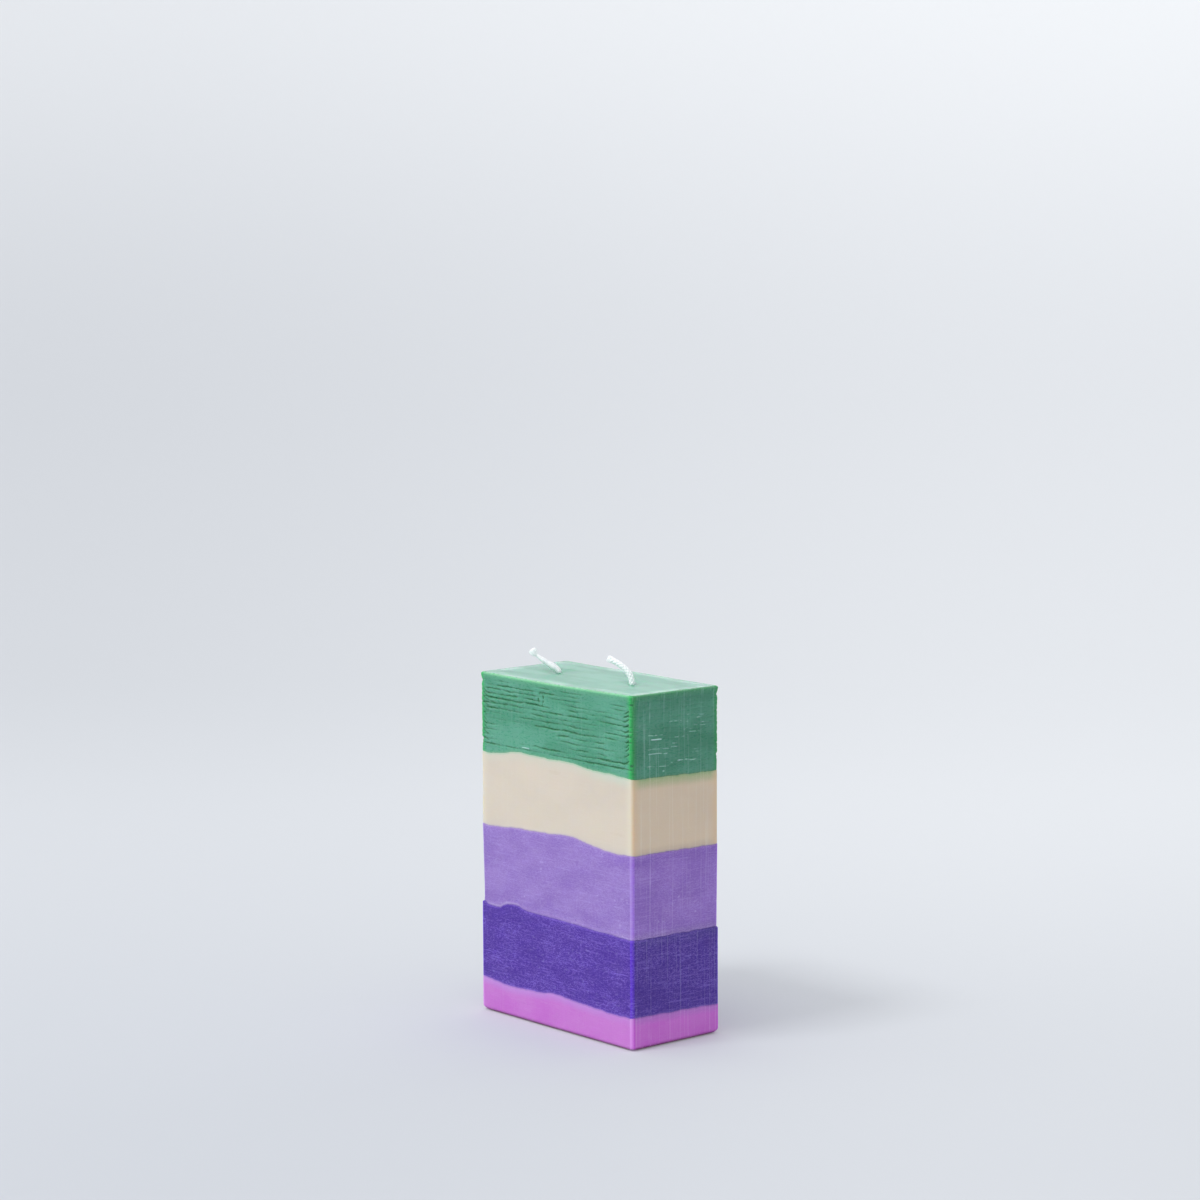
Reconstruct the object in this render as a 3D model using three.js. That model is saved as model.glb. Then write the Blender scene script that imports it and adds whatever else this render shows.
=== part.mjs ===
// A block candle with two wicks, cast in five colours poured one on top of the other.
// Millimetres, +Z up. The origin is the centre of the flat base, and +X runs along the wide faces.
import * as THREE from "three";
import { mergeVertices } from "three/addons/utils/BufferGeometryUtils.js";

// The block, and how deep each colour was poured, from the bottom up
const blockWidth = 100;
const blockDepth = 49.4;
const pinkDepth = 14;
const violetDepth = 34;
const lilacDepth = 36;
const creamDepth = 32;
const greenDepth = 34;

// Rounded edges: the upright ones, the same ones at the foot, the edge of the base and the brim
const uprightRadius = 1.4;
const footCornerRadius = 3.6;
const footRadius = 2.4;
const brimRadius = 0.9;

// How far each pour drew back from the mould wall as it set
const violetShrink = 0.05;
const lilacShrinkAtFoot = 0.5;
const lilacShrinkAtHead = 0.25;
const lilacLean = 0.6;
const creamShrink = 0.35;
const greenShrink = 0.45;
const brimFlare = 0.4;

// The shoulder on each side of a pour line, and the groove between the shoulders
const shoulderRadius = 0.8;
const grooveDepth = 0.15;

// Cold-pour folds on the walls of the last pour, and the deeper lap that runs below them
const foldPitch = 2.15;
const foldDepth = 0.42;
const foldWander = 0.3;
const foldWave = 37;
const lapHeight = 3.2;
const lapDepth = 0.55;
const smoothBrim = 2.6;

// How strong the folds are along a wide face, from left to right, and on the narrow faces
const wideFolds = [0.9, 1, 0.65, 0.5, 0.85];
const narrowFolds = 0.25;

// The flat top sinks a little round each wick, and wax climbs the wick itself
const sinkRadius = 11;
const sinkDepth = 0.6;
const climbRadius = 2.6;
const climbHeight = 0.45;
const flatRim = 4;

// Wicks
const wickDiameter = 2;
const wickSpacing = 48;
const wicksLeftOfCentre = 2.4;
const wicksBehindCentre = 0.6;
const wickLean = 30;
const tipFlareLength = 3.2;
const tipDome = 0.4;
const tipRounding = 0.6;

// The free end of each wick: how far its tip lies sideways and above the wax, how far it stays upright before
// it bends, and how its tip points
const leftReach = 12.1;
const leftRise = 8.8;
const leftUpright = 2.1;
const leftTipReach = 2;
const leftTipRise = 3.8;
const rightReach = 11.2;
const rightRise = 10.7;
const rightUpright = 5.9;
const rightTipReach = 5.3;
const rightTipRise = 1.8;

// Sustainers: a stamped disc with a neck that is crimped round the wick
const tabDiameter = 15;
const tabThickness = 0.4;
const tabRecess = 0.3;
const neckDiameter = 3.8;
const neckHeight = 5;
const crimpDepth = 0.3;
const crimpHeight = 2;

// Rise and fall of each pour line, from left to right along the front and along the back
const pinkViolet = {
  front: [1.2, 0.1, -0.1, 0.5, 1.6, 0.9, 0.4, -0.1, 0.3],
  back: [1.0, -0.4, 0.6, 0.2, -1.2],
};
const violetLilac = {
  front: [0.8, 0.6, 1.0, 0.5, 0.4, 0.0, -0.4, -0.6, -0.8],
  back: [0.3, 1.2, 0.4, -0.6, -1.7],
};
const lilacCream = {
  front: [-1.0, -0.9, 0.1, 0.4, 1.2, 1.4, -0.3, -1.4, -1.2],
  back: [-0.6, 0.8, 1.1, -0.5, -1.9],
};
const creamGreen = {
  front: [-1.2, -0.5, 1.4, 1.2, 1.2, 1.0, -0.1, -0.2, -1.1],
  back: [-0.9, 0.6, 1.2, -0.4, -2.3],
};
const brim = {
  front: [0.0, -0.3, -0.4, -0.2, 0.1],
  back: [0.1, -0.1, 0.0, -0.2, -0.2],
};

// Counts of facets
const wideSteps = 18;
const narrowSteps = 8;
const cornerSteps = 2;
const roundSides = 20;
const stubSteps = 14;
const shoulderShares = [0, 0.3, 1];
const foldShares = [0, 0.25, 0.7];
const sinkShares = [1, 0.6, 0.36];
const climbShares = [1, 0.65];

const colours = {
  pink: 0xca7dd4,
  violet: 0x624baa,
  lilac: 0xa08ace,
  cream: 0xd9d2c4,
  green: 0x5b9d81,
  cotton: 0xeceae4,
  tinnedSteel: 0xb9bbbe,
};
const waxRoughness = 0.55;
const cottonRoughness = 0.8;
const steelRoughness = 0.35;

const UP = new THREE.Vector3(0, 0, 1);
const wickRadius = wickDiameter / 2;

// Each wick, with its thicker places as shares of its radius
const wicks = [
  {
    side: "left",
    x: -wicksLeftOfCentre - wickSpacing / 2,
    y: wicksBehindCentre,
    reach: leftReach,
    rise: leftRise,
    upright: leftUpright,
    tipReach: leftTipReach,
    tipRise: leftTipRise,
    swell: 0.25,
    tipFlare: 0.6,
  },
  {
    side: "right",
    x: -wicksLeftOfCentre + wickSpacing / 2,
    y: wicksBehindCentre,
    reach: rightReach,
    rise: rightRise,
    upright: rightUpright,
    tipReach: rightTipReach,
    tipRise: rightTipRise,
    swell: 0,
    tipFlare: 0.3,
  },
];

// A smooth curve through values that are spread evenly from the left edge of the block to the right one
function alongWidth(values) {
  const places = values.map((_, i) => (i / (values.length - 1) - 0.5) * blockWidth);
  const curve = new THREE.CubicInterpolant(places, values, 1);
  return (x) => curve.evaluate(x)[0];
}

// A pour line lies where two pours meet. It waves along the front and the back of the block, and
// straight rulings join the two through the wax. The inset is how far in from the mould wall they meet.
function pourLine(level, { front, back }, inset, lean = 0) {
  const frontRise = alongWidth(front);
  const backRise = alongWidth(back);
  const height = (x, y) => {
    const depthShare = y / blockDepth + 0.5;
    return level + THREE.MathUtils.lerp(frontRise(x), backRise(x), depthShare);
  };
  return { height, inset, lean };
}

// The block's outline, set in from the mould wall, with rounded corners: its points and outward normals,
// anticlockwise from the front left corner
function outline(inset, radius) {
  const centreX = blockWidth / 2 - inset - radius;
  const centreY = blockDepth / 2 - inset - radius;
  const corners = [[-1, -1], [1, -1], [1, 1], [-1, 1]];
  const points = [];
  corners.forEach(([sideX, sideY], corner) => {
    for (let i = 0; i <= cornerSteps; i++) {
      const angle = Math.PI + (Math.PI / 2) * (corner + i / cornerSteps);
      const nx = Math.cos(angle);
      const ny = Math.sin(angle);
      points.push({ x: sideX * centreX + radius * nx, y: sideY * centreY + radius * ny, nx, ny });
    }
    const { x, y, nx, ny } = points[points.length - 1];
    const [nextX, nextY] = corners[(corner + 1) % corners.length];
    const steps = corner % 2 === 0 ? wideSteps : narrowSteps;
    for (let i = 1; i < steps; i++) {
      const alongX = ((nextX - sideX) * centreX * i) / steps;
      const alongY = ((nextY - sideY) * centreY * i) / steps;
      points.push({ x: x + alongX, y: y + alongY, nx, ny });
    }
  });
  return points;
}

// One ring round the wall of a pour. Share 0 is on its lower line and share 1 on its upper line.
// The lean presses the left face further in, and press does so anywhere.
function wallRing(lower, upper, { share, rise = 0, inset, lean = 0, radius = uprightRadius, press, wander }) {
  return outline(inset, radius).map(({ x, y, nx, ny }) => {
    const inward = lean * Math.max(0, -nx) + (press ? press(x, ny) : 0);
    const ringX = x - nx * inward;
    const ringY = y - ny * inward;
    const height = THREE.MathUtils.lerp(lower.height(ringX, ringY), upper.height(ringX, ringY), share);
    return new THREE.Vector3(ringX, ringY, height + rise + (wander ? wander(x) : 0));
  });
}

// The rings of a rounded edge, listed from the pour line into the wall: share 0 rounds a pour's foot, and
// share 1 its head
function roundedEdge(share, edge, wall, radius) {
  return shoulderShares.map((part) => {
    const turned = 1 - Math.sqrt(1 - (1 - part) ** 2);
    return {
      share,
      rise: (share === 0 ? radius : -radius) * part,
      inset: THREE.MathUtils.lerp(wall.inset, edge.inset, turned),
      lean: THREE.MathUtils.lerp(wall.lean ?? 0, edge.lean ?? 0, turned),
      radius: THREE.MathUtils.lerp(uprightRadius, edge.radius ?? uprightRadius, turned),
    };
  });
}

// A ring round a wick's axis. Its height is a number, or a function of the place.
function circle({ x, y }, radius, height) {
  return Array.from({ length: roundSides }, (_, i) => {
    const angle = (2 * Math.PI * i) / roundSides;
    const ringX = x + radius * Math.cos(angle);
    const ringY = y + radius * Math.sin(angle);
    return new THREE.Vector3(ringX, ringY, typeof height === "number" ? height : height(ringX, ringY));
  });
}

// A closed solid: a loft of rings from its foot to its head, with holes that run through it from head to foot
function loftedSolid(wall, holes = []) {
  const corners = [];
  const band = (from, to) => {
    from.forEach((point, i) => {
      const next = (i + 1) % from.length;
      corners.push(point, from[next], to[next], point, to[next], to[i]);
    });
  };
  const cap = (rim, holeRims, facesUp) => {
    const points = [rim, ...holeRims].flat();
    for (const [a, b, c] of THREE.ShapeUtils.triangulateShape([...rim], holeRims)) {
      corners.push(points[a], points[facesUp ? b : c], points[facesUp ? c : b]);
    }
  };
  for (const rings of [wall, ...holes]) {
    rings.slice(1).forEach((ring, i) => band(rings[i], ring));
  }
  cap(wall[wall.length - 1], holes.map((rings) => rings[0]), true);
  cap(wall[0], holes.map((rings) => rings[rings.length - 1]), false);
  const geometry = mergeVertices(new THREE.BufferGeometry().setFromPoints(corners));
  geometry.computeVertexNormals();
  return geometry;
}

// The pour lines, from the base up. Neighbours meet a groove's depth behind the wall of whichever is set
// further back.
const levels = [0];
for (const depth of [pinkDepth, violetDepth, lilacDepth, creamDepth, greenDepth]) {
  levels.push(levels[levels.length - 1] + depth);
}
const [, pinkHead, violetHead, lilacHead, creamHead, greenHead] = levels;
const base = { height: () => 0, inset: footRadius, radius: footCornerRadius };
const lineOverPink = pourLine(pinkHead, pinkViolet, violetShrink + grooveDepth);
const lineOverViolet = pourLine(violetHead, violetLilac, lilacShrinkAtFoot + grooveDepth, lilacLean);
const lineOverLilac = pourLine(lilacHead, lilacCream, creamShrink + grooveDepth);
const lineOverCream = pourLine(creamHead, creamGreen, greenShrink + grooveDepth);
const brimLine = pourLine(greenHead, brim, greenShrink - brimFlare + brimRadius);

// The wall of a pour that set smooth, straight from its foot to its head
function smoothWall(lower, upper, foot, head, footEdgeRadius = shoulderRadius) {
  return [
    ...roundedEdge(0, lower, foot, footEdgeRadius),
    ...roundedEdge(1, upper, head, shoulderRadius).reverse(),
  ].map((ring) => wallRing(lower, upper, ring));
}

// The wall of the last pour: a lap and rows of folds, which fade round the corners, under a smooth brim that
// flares out to the mould wall
function foldedWall(lower, upper) {
  const wideStrength = alongWidth(wideFolds);
  const strength = (x, ny) => THREE.MathUtils.lerp(narrowFolds, wideStrength(x), Math.abs(ny));
  const wander = (x) => foldWander * Math.sin((2 * Math.PI * x) / foldWave);
  const foldedHeight = greenDepth - lapHeight - smoothBrim;
  const foldCount = Math.round(foldedHeight / foldPitch);
  const rings = roundedEdge(0, lower, { inset: greenShrink }, shoulderRadius);
  const pressedRing = (height, depth) => ({
    share: height / greenDepth,
    inset: greenShrink,
    press: (x, ny) => depth * strength(x, ny),
    wander,
  });
  for (let fold = 0; fold < foldCount; fold++) {
    const creaseDepth = fold === 0 ? lapDepth : foldDepth;
    for (const part of foldShares) {
      const creased = 1 - Math.sqrt(Math.sin(Math.PI * part));
      const height = lapHeight + (foldedHeight * (fold + part)) / foldCount;
      rings.push(pressedRing(height, creaseDepth * creased));
    }
  }
  rings.push(pressedRing(greenDepth - smoothBrim, foldDepth));
  rings.push(...roundedEdge(1, upper, { inset: greenShrink - brimFlare }, brimRadius).reverse());
  rings.push({ share: 1, inset: upper.inset + flatRim });
  return rings.map((ring) => wallRing(lower, upper, ring));
}

// The height of the top round a wick, with the sink that cooling leaves and the wax that climbs the wick
function topRound(wick) {
  return (x, y) => {
    const distance = Math.hypot(x - wick.x, y - wick.y);
    const sink = (1 - Math.min(1, distance / sinkRadius) ** 2) ** 2;
    const climb = (1 - Math.min(1, distance / climbRadius)) ** 2;
    return brimLine.height(x, y) - sinkDepth * sink + climbHeight * climb;
  };
}

// A sustainer's outer shape, from the edge of the disc up and in to the wick
const tabTop = tabRecess + tabThickness;
const neckTop = tabTop + neckHeight;
const crimpMiddle = tabTop + neckHeight / 2;
const neckRadius = neckDiameter / 2;
const tabProfile = [
  [tabDiameter / 2, tabRecess],
  [tabDiameter / 2, tabTop],
  [neckRadius, tabTop],
  [neckRadius, crimpMiddle - crimpHeight / 2],
  [neckRadius - crimpDepth, crimpMiddle],
  [neckRadius, crimpMiddle + crimpHeight / 2],
  [neckRadius, neckTop],
  [wickRadius, neckTop],
];

// The hole that a wick fills in each pour, from head to foot
const plainHole = (lower, upper) => (wick) => [
  circle(wick, wickRadius, upper.height),
  circle(wick, wickRadius, lower.height),
];
const footHole = (wick) => [
  circle(wick, wickRadius, lineOverPink.height),
  ...tabProfile.map(([radius, height]) => circle(wick, radius, height)).reverse(),
  circle(wick, tabDiameter / 2, 0),
];
const topRadii = [
  ...sinkShares.map((share) => share * sinkRadius),
  ...climbShares.map((share) => share * climbRadius),
  wickRadius,
];
const topHole = (wick) => [
  ...topRadii.map((radius) => circle(wick, radius, topRound(wick))),
  circle(wick, wickRadius, lineOverCream.height),
];

function sustainer(wick) {
  const turned = [[wickRadius, tabRecess], ...tabProfile, [wickRadius, tabRecess]];
  const geometry = new THREE.LatheGeometry(turned.map(([r, z]) => new THREE.Vector2(r, z)), roundSides);
  geometry.rotateX(Math.PI / 2);
  geometry.translate(wick.x, wick.y, 0);
  return geometry;
}

// A wick runs straight from its sustainer to the top, and then along a curve that leaves the wax upright
function wickSolid(wick) {
  const exit = new THREE.Vector3(wick.x, wick.y, topRound(wick)(wick.x, wick.y));
  const lean = THREE.MathUtils.degToRad(wickLean);
  const away = (reach, rise) => new THREE.Vector3(-reach * Math.cos(lean), -reach * Math.sin(lean), rise);
  const tip = exit.clone().add(away(wick.reach, wick.rise));
  const curve = new THREE.CubicBezierCurve3(
    exit,
    exit.clone().add(away(0, wick.upright)),
    tip.clone().sub(away(wick.tipReach, wick.tipRise)),
    tip,
  );
  const stubLength = curve.getLength();
  const section = (share, radius, beyond = 0) => {
    const tangent = curve.getTangent(share);
    const centre = curve.getPoint(share).addScaledVector(tangent, beyond);
    const tilt = new THREE.Quaternion().setFromUnitVectors(UP, tangent);
    return circle({ x: 0, y: 0 }, radius, 0).map((point) => point.applyQuaternion(tilt).add(centre));
  };
  const radiusAt = (share) => {
    const swell = wick.swell * Math.sin(Math.PI * Math.min(1, share * 2)) ** 2;
    const flared = Math.max(0, 1 - ((1 - share) * stubLength) / tipFlareLength);
    return wickRadius * (1 + swell + wick.tipFlare * flared ** 2);
  };
  const rings = [circle(wick, wickRadius, tabRecess)];
  for (let i = 0; i <= stubSteps; i++) {
    rings.push(section(i / stubSteps, radiusAt(i / stubSteps)));
  }
  rings.push(section(1, radiusAt(1) * tipRounding, tipDome));
  return loftedSolid(rings);
}

function part(name, geometry, color, roughness, metalness = 0) {
  const mesh = new THREE.Mesh(geometry, new THREE.MeshStandardMaterial({ color, roughness, metalness }));
  mesh.name = name;
  return mesh;
}

const candle = new THREE.Group();
const pour = (name, wall, hole, color) =>
  candle.add(part(name, loftedSolid(wall, wicks.map(hole)), color, waxRoughness));

pour(
  "pink_layer",
  smoothWall(base, lineOverPink, { inset: 0 }, { inset: 0 }, footRadius),
  footHole,
  colours.pink,
);
pour(
  "violet_layer",
  smoothWall(lineOverPink, lineOverViolet, { inset: violetShrink }, { inset: violetShrink }),
  plainHole(lineOverPink, lineOverViolet),
  colours.violet,
);
pour(
  "lilac_layer",
  smoothWall(
    lineOverViolet,
    lineOverLilac,
    { inset: lilacShrinkAtFoot, lean: lilacLean },
    { inset: lilacShrinkAtHead },
  ),
  plainHole(lineOverViolet, lineOverLilac),
  colours.lilac,
);
pour(
  "cream_layer",
  smoothWall(lineOverLilac, lineOverCream, { inset: creamShrink }, { inset: creamShrink }),
  plainHole(lineOverLilac, lineOverCream),
  colours.cream,
);
pour("green_layer", foldedWall(lineOverCream, brimLine), topHole, colours.green);

for (const wick of wicks) {
  candle.add(part(`wick_${wick.side}`, wickSolid(wick), colours.cotton, cottonRoughness));
  candle.add(part(`wick_tab_${wick.side}`, sustainer(wick), colours.tinnedSteel, steelRoughness, 1));
}

export default candle;
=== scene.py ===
"""Dresses the CAD frame of a two-wick block candle in wax, cotton and tinned steel."""

import math
from collections import namedtuple
from functools import partial

import bpy
import numpy as np
from bpy.props import FloatProperty, FloatVectorProperty, IntProperty, PointerProperty
from mathutils import Matrix, Vector
from mathutils.geometry import tessellate_polygon


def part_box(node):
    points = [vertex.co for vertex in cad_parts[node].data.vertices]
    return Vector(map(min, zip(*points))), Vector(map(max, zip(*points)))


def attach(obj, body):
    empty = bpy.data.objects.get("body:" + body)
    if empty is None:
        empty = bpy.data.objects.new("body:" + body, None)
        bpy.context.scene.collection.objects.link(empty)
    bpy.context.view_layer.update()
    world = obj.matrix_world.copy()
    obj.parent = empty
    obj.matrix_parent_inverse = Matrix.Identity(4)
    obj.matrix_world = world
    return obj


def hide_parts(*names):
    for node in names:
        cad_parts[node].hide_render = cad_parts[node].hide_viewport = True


bl_info = {
    "name": "Poured Block Candle",
    "version": (1, 0, 0),
    "blender": (4, 5, 0),
    "location": "View3D > Sidebar > Candle",
    "description": "Dresses the CAD frame of a two-wick block candle in wax, cotton and tinned steel",
    "category": "Object",
}

# Everything is worked out in millimetres and handed to Blender in metres
MM = 0.001

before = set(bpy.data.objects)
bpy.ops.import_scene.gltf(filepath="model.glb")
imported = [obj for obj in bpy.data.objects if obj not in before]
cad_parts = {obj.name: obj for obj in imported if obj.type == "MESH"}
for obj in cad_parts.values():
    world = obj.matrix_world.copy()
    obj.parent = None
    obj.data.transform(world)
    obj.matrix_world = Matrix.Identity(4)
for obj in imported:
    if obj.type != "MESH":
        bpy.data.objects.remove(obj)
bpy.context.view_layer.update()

SIDES = ("left", "right")

# Half the block's width and depth, read from the frame
HALF_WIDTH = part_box("pink_layer")[1].x / MM
HALF_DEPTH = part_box("pink_layer")[1].y / MM

# How far each pour drew back from the mould wall as it set, how much further the lilac one did on the left
# face, the groove between two pours, and the radius round the brim
VIOLET_SHRINK = 0.05
LILAC_SHRINK_AT_FOOT = 0.5
LILAC_SHRINK_AT_HEAD = 0.25
LILAC_LEAN = 0.6
CREAM_SHRINK = 0.35
GREEN_SHRINK = 0.45
BRIM_SHRINK = 0.05
GROOVE = 0.15
BRIM_RADIUS = 0.9

# A pour line: its level, its rise along the front and along the back from left to right, how far in from the
# mould wall the two pours meet, and how much further in they meet on the left face
PourLine = namedtuple("PourLine", "level front back inset lean")
PINK_VIOLET = PourLine(
    14.0,
    (1.2, 0.1, -0.1, 0.5, 1.6, 0.9, 0.4, -0.1, 0.3),
    (1.0, -0.4, 0.6, 0.2, -1.2),
    VIOLET_SHRINK + GROOVE,
    0.0,
)
VIOLET_LILAC = PourLine(
    48.0,
    (0.8, 0.6, 1.0, 0.5, 0.4, 0.0, -0.4, -0.6, -0.8),
    (0.3, 1.2, 0.4, -0.6, -1.7),
    LILAC_SHRINK_AT_FOOT + GROOVE,
    LILAC_LEAN,
)
LILAC_CREAM = PourLine(
    84.0,
    (-1.0, -0.9, 0.1, 0.4, 1.2, 1.4, -0.3, -1.4, -1.2),
    (-0.6, 0.8, 1.1, -0.5, -1.9),
    CREAM_SHRINK + GROOVE,
    0.0,
)
CREAM_GREEN = PourLine(
    116.0,
    (-1.2, -0.5, 1.4, 1.2, 1.2, 1.0, -0.1, -0.2, -1.1),
    (-0.9, 0.6, 1.2, -0.4, -2.3),
    GREEN_SHRINK + GROOVE,
    0.0,
)
BRIM = PourLine(
    150.0,
    (0.0, -0.3, -0.4, -0.2, 0.1),
    (0.1, -0.1, 0.0, -0.2, -0.2),
    BRIM_SHRINK + BRIM_RADIUS,
    0.0,
)
# The tongue in which the lilac pour hangs over the violet one, and the notch beside it: the two ends of each
# along the front, and how far the line falls or rises there
TONGUE = (-48.0, -34.5)
TONGUE_FALL = 1.3
NOTCH = (-35.5, -21.0)
NOTCH_RISE = 0.9
# Where two pits show above the lip of the lilac pour, along the front
LILAC_PITS = (6.5, 13.1)

# Folds of the last pour on the front, by height: the left end, right end and strength of each crease
FRONT_FOLDS = {
    119.1: ((-47, -33, 0.9), (18, 46, 1.1)),
    121.2: ((-24, -15, 0.4), (-16, 3, 1.0), (27, 46, 1.4)),
    123.2: ((-8, -3, 0.5), (14, 40, 0.3)),
    125.6: ((-1, 19, 0.3), (24, 44, 0.2)),
    128.0: ((-1, 10, 0.6), (21, 33, 0.3)),
    130.4: ((-47, -44, 0.4), (-14, 4, 1.2), (4, 16, 1.2), (33, 38, 0.4)),
    132.8: ((-48, -44, 0.6), (-7, 15, 0.6), (20, 40, 0.2)),
    135.0: ((-48, -38, 0.8), (-17, -6, 0.5), (5, 30, 0.3)),
    137.2: ((-48, -38, 0.9), (-36, -24, 0.9), (-17, 6, 0.7), (7, 23, 0.5), (27, 47, 0.5)),
    139.4: ((-46, -20, 1.0), (-20, -9, 0.9), (3, 22, 0.5), (23, 38, 0.4)),
    141.4: ((-48, -23, 1.0), (-19, -12, 0.6), (4, 14, 0.3)),
    143.3: ((-47, -26, 0.8), (-23, -12, 0.7), (38, 45, 0.3)),
    145.1: ((-45, -29, 0.7), (-21, 1, 0.6)),
    147.0: ((-42, -30, 0.6), (-21, -17, 0.4)),
}
# Patches of the front that set smooth between the folds: their middle, their height, and half their length
# and half their height
CALM_PATCHES = ((-17.0, 125.4, 24.0, 5.6), (26.0, 144.6, 11.0, 3.4))
# How far a crease wanders up and down, in long waves and in short ones, and how far its lip lies below it
FOLD_WANDER = 0.4
FINE_FOLD_WANDER = 0.16
LIP_DROP = 0.95
# A small curl in the folds of the front: its place along the front and its height
CURL_PLACE = -9.0
CURL_HEIGHT = 142.2
# A pale glint low on the front of the last pour: its height and its two ends
GLINT_HEIGHT = 120.0
GLINT_ENDS = (-22.5, -16.0)
# Short creases that curl up into the bead on an upright edge, by height
HOOK_HEIGHTS = (142.9, 141.2, 139.4, 137.2, 134.9, 132.8, 130.7, 128.9, 127.3, 124.8, 121.9)
# The bead on each upright edge of the last pour: its foot, its head and how far along a wide face it reaches
BEAD_FOOT = 120.6
BEAD_HEAD = 146.2
BEAD_REACH = 2.6
# How deep or how proud the marks of the walls are: the swell of every wall and its finer part, the ripples of
# the violet pour, the striae, lip and pits of the lilac one, and the striae of the cream one
SWELL = 0.06
FINE_SWELL = 0.02
VIOLET_RIPPLE = 0.05
LILAC_STRIAE = 0.04
LILAC_LIP = 0.16
LILAC_PIT = 0.14
CREAM_STRIAE = 0.02
# The same on the last pour: the tremble of its bead, the pits at the ends of the bead, the dashes and the
# pale marks, and on its top the swell and the pits at the foot of each wick
BEAD_TREMBLE = 0.14
BEAD_PIT = 0.4
DASH = 0.05
PALE_MARK = 0.1
TOP_SWELL = 0.05
WICK_PIT = 0.22
# Lines that the mould left on the narrow faces: their place across the face and their strength
MOULD_LINES = (
    (-18.1, 0.45),
    (-14.3, 1.0),
    (-12.0, 0.25),
    (-5.9, 0.5),
    (-2.2, 0.3),
    (7.0, 0.7),
    (9.6, 0.3),
    (15.2, 0.35),
)
# Pale marks across the last pour's narrow faces: the height of each, its two ends and its strength
NARROW_MARKS = (
    (130.6, -14.0, -7.2, 1.0),
    (132.4, -15.8, -6.6, 0.55),
    (126.4, -16.0, -3.0, 0.5),
    (124.6, -15.6, -4.0, 0.65),
    (119.1, -16.4, -3.0, 0.55),
    (120.2, 1.4, 12.6, 0.65),
    (123.0, 9.0, 15.0, 0.45),
    (139.0, 6.0, 16.6, 0.5),
    (137.1, -4.0, 4.0, 0.55),
    (134.4, 9.0, 17.4, 0.5),
    (131.7, 6.0, 14.6, 0.55),
    (128.2, -2.4, 1.6, 0.6),
    (130.4, -1.0, 5.8, 0.55),
)

# The free end of a wick: how far its tip lies sideways and above the wax, how far it stays upright before it
# bends, and how its tip points
Stub = namedtuple("Stub", "reach rise upright tip_reach tip_rise")
STUBS = {"left": Stub(12.7, 9.9, 2.1, 2.6, 4.9), "right": Stub(11.2, 10.7, 5.9, 5.3, 1.8)}
STUB_LEAN = math.radians(30.0)
# Radius of the wax round the left wick, by distance from the top of the block
COAT = (
    (-0.4, 0.98),
    (0.6, 1.12),
    (2.4, 1.36),
    (4.2, 1.44),
    (7.0, 1.2),
    (10.0, 0.98),
    (12.4, 0.78),
    (13.4, 0.62),
)

# The braid, in shares of a wick's radius: how far out its yarns lie, how far they weave in and out, half the
# width and half the height of a yarn, and the radius of the core
YARN_PLACE = 0.6
YARN_WEAVE = 0.14
YARN_HALF_WIDTH = 0.43
YARN_HALF_HEIGHT = 0.25
CORE = 0.5
# The most that a corner of a sustainer is cut
LARGEST_CUT = 0.12

# The camera stood to the right of the front, a little above the candle
CAMERA_PLACE = Vector((1058.4, -911.8, 353.9)) * MM
CAMERA_YAW = math.radians(49.21)
CAMERA_PITCH = math.radians(-6.95)
CAMERA_ROLL = math.radians(-0.21)
# The direction that the key light comes from
KEY_WAY = Vector((-13.0, -91.0, 150.0)).normalized()
# The direction of the brightest part of the surroundings
SKY_WAY = Vector((-0.3, -0.8, 0.5)).normalized()


def linear(code):
    """Turns an sRGB hex code into linear red, green, blue and alpha."""
    channels = (int(code[i : i + 2], 16) / 255.0 for i in (1, 3, 5))
    return (*(c / 12.92 if c <= 0.04045 else ((c + 0.055) / 1.055) ** 2.4 for c in channels), 1.0)


def colour(name, description, code):
    """A colour that the user can change."""
    return FloatVectorProperty(
        name=name, description=description, default=linear(code), subtype="COLOR", size=4, min=0.0, max=1.0
    )


def length(name, description, millimetres):
    """A length that the user can change, with its default in millimetres."""
    return FloatProperty(
        name=name, description=description, default=millimetres * MM, unit="LENGTH", precision=5
    )


class WaxSizes(bpy.types.PropertyGroup):
    """Sizes of the poured block."""

    upright_radius: length("Upright edges", "Radius of the upright edges", 1.4)
    foot_corner_radius: length("Foot corners", "Radius of the corners at the foot", 3.6)
    foot_radius: length("Foot", "Radius round the edge of the base", 2.4)
    line_radius: length("Pour lines", "Radius of the wax on each side of a pour line", 0.22)
    shoulder_radius: length("Violet shoulder", "Radius of the shoulder on the violet pour", 0.8)
    line_tremor: length("Pour line tremor", "How much a pour line trembles", 0.24)
    fold_depth: length("Fold depth", "Depth of the cold-pour folds", 0.34)
    fold_width: length("Fold width", "Half the width of the crease of a fold", 0.38)
    bead: length("Bead", "How far the bead on an upright edge stands out", 0.2)
    sink_radius: length("Sink radius", "Radius of the sink round each wick", 11.0)
    sink_depth: length("Sink depth", "Depth of the sink round each wick", 0.6)
    climb_radius: length("Climb radius", "Radius of the wax that climbs each wick", 2.6)
    climb_height: length("Climb height", "Height that the wax climbs each wick", 0.45)
    row_height: length("Rows", "Height of a row of faces on a smooth pour", 0.5)
    fold_row_height: length("Fold rows", "Height of a row of faces on the folded pour", 0.22)


class WaxColours(bpy.types.PropertyGroup):
    """Colours of the five pours."""

    pink: colour("Pink", "Body of the first pour", "#cd75d3")
    violet: colour("Violet", "Body of the second pour", "#4a219c")
    lilac: colour("Lilac", "Body of the third pour", "#9474c4")
    cream: colour("Cream", "Body of the fourth pour", "#dcd1c1")
    green: colour("Green", "Body of the last pour", "#4b9b7c")


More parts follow.
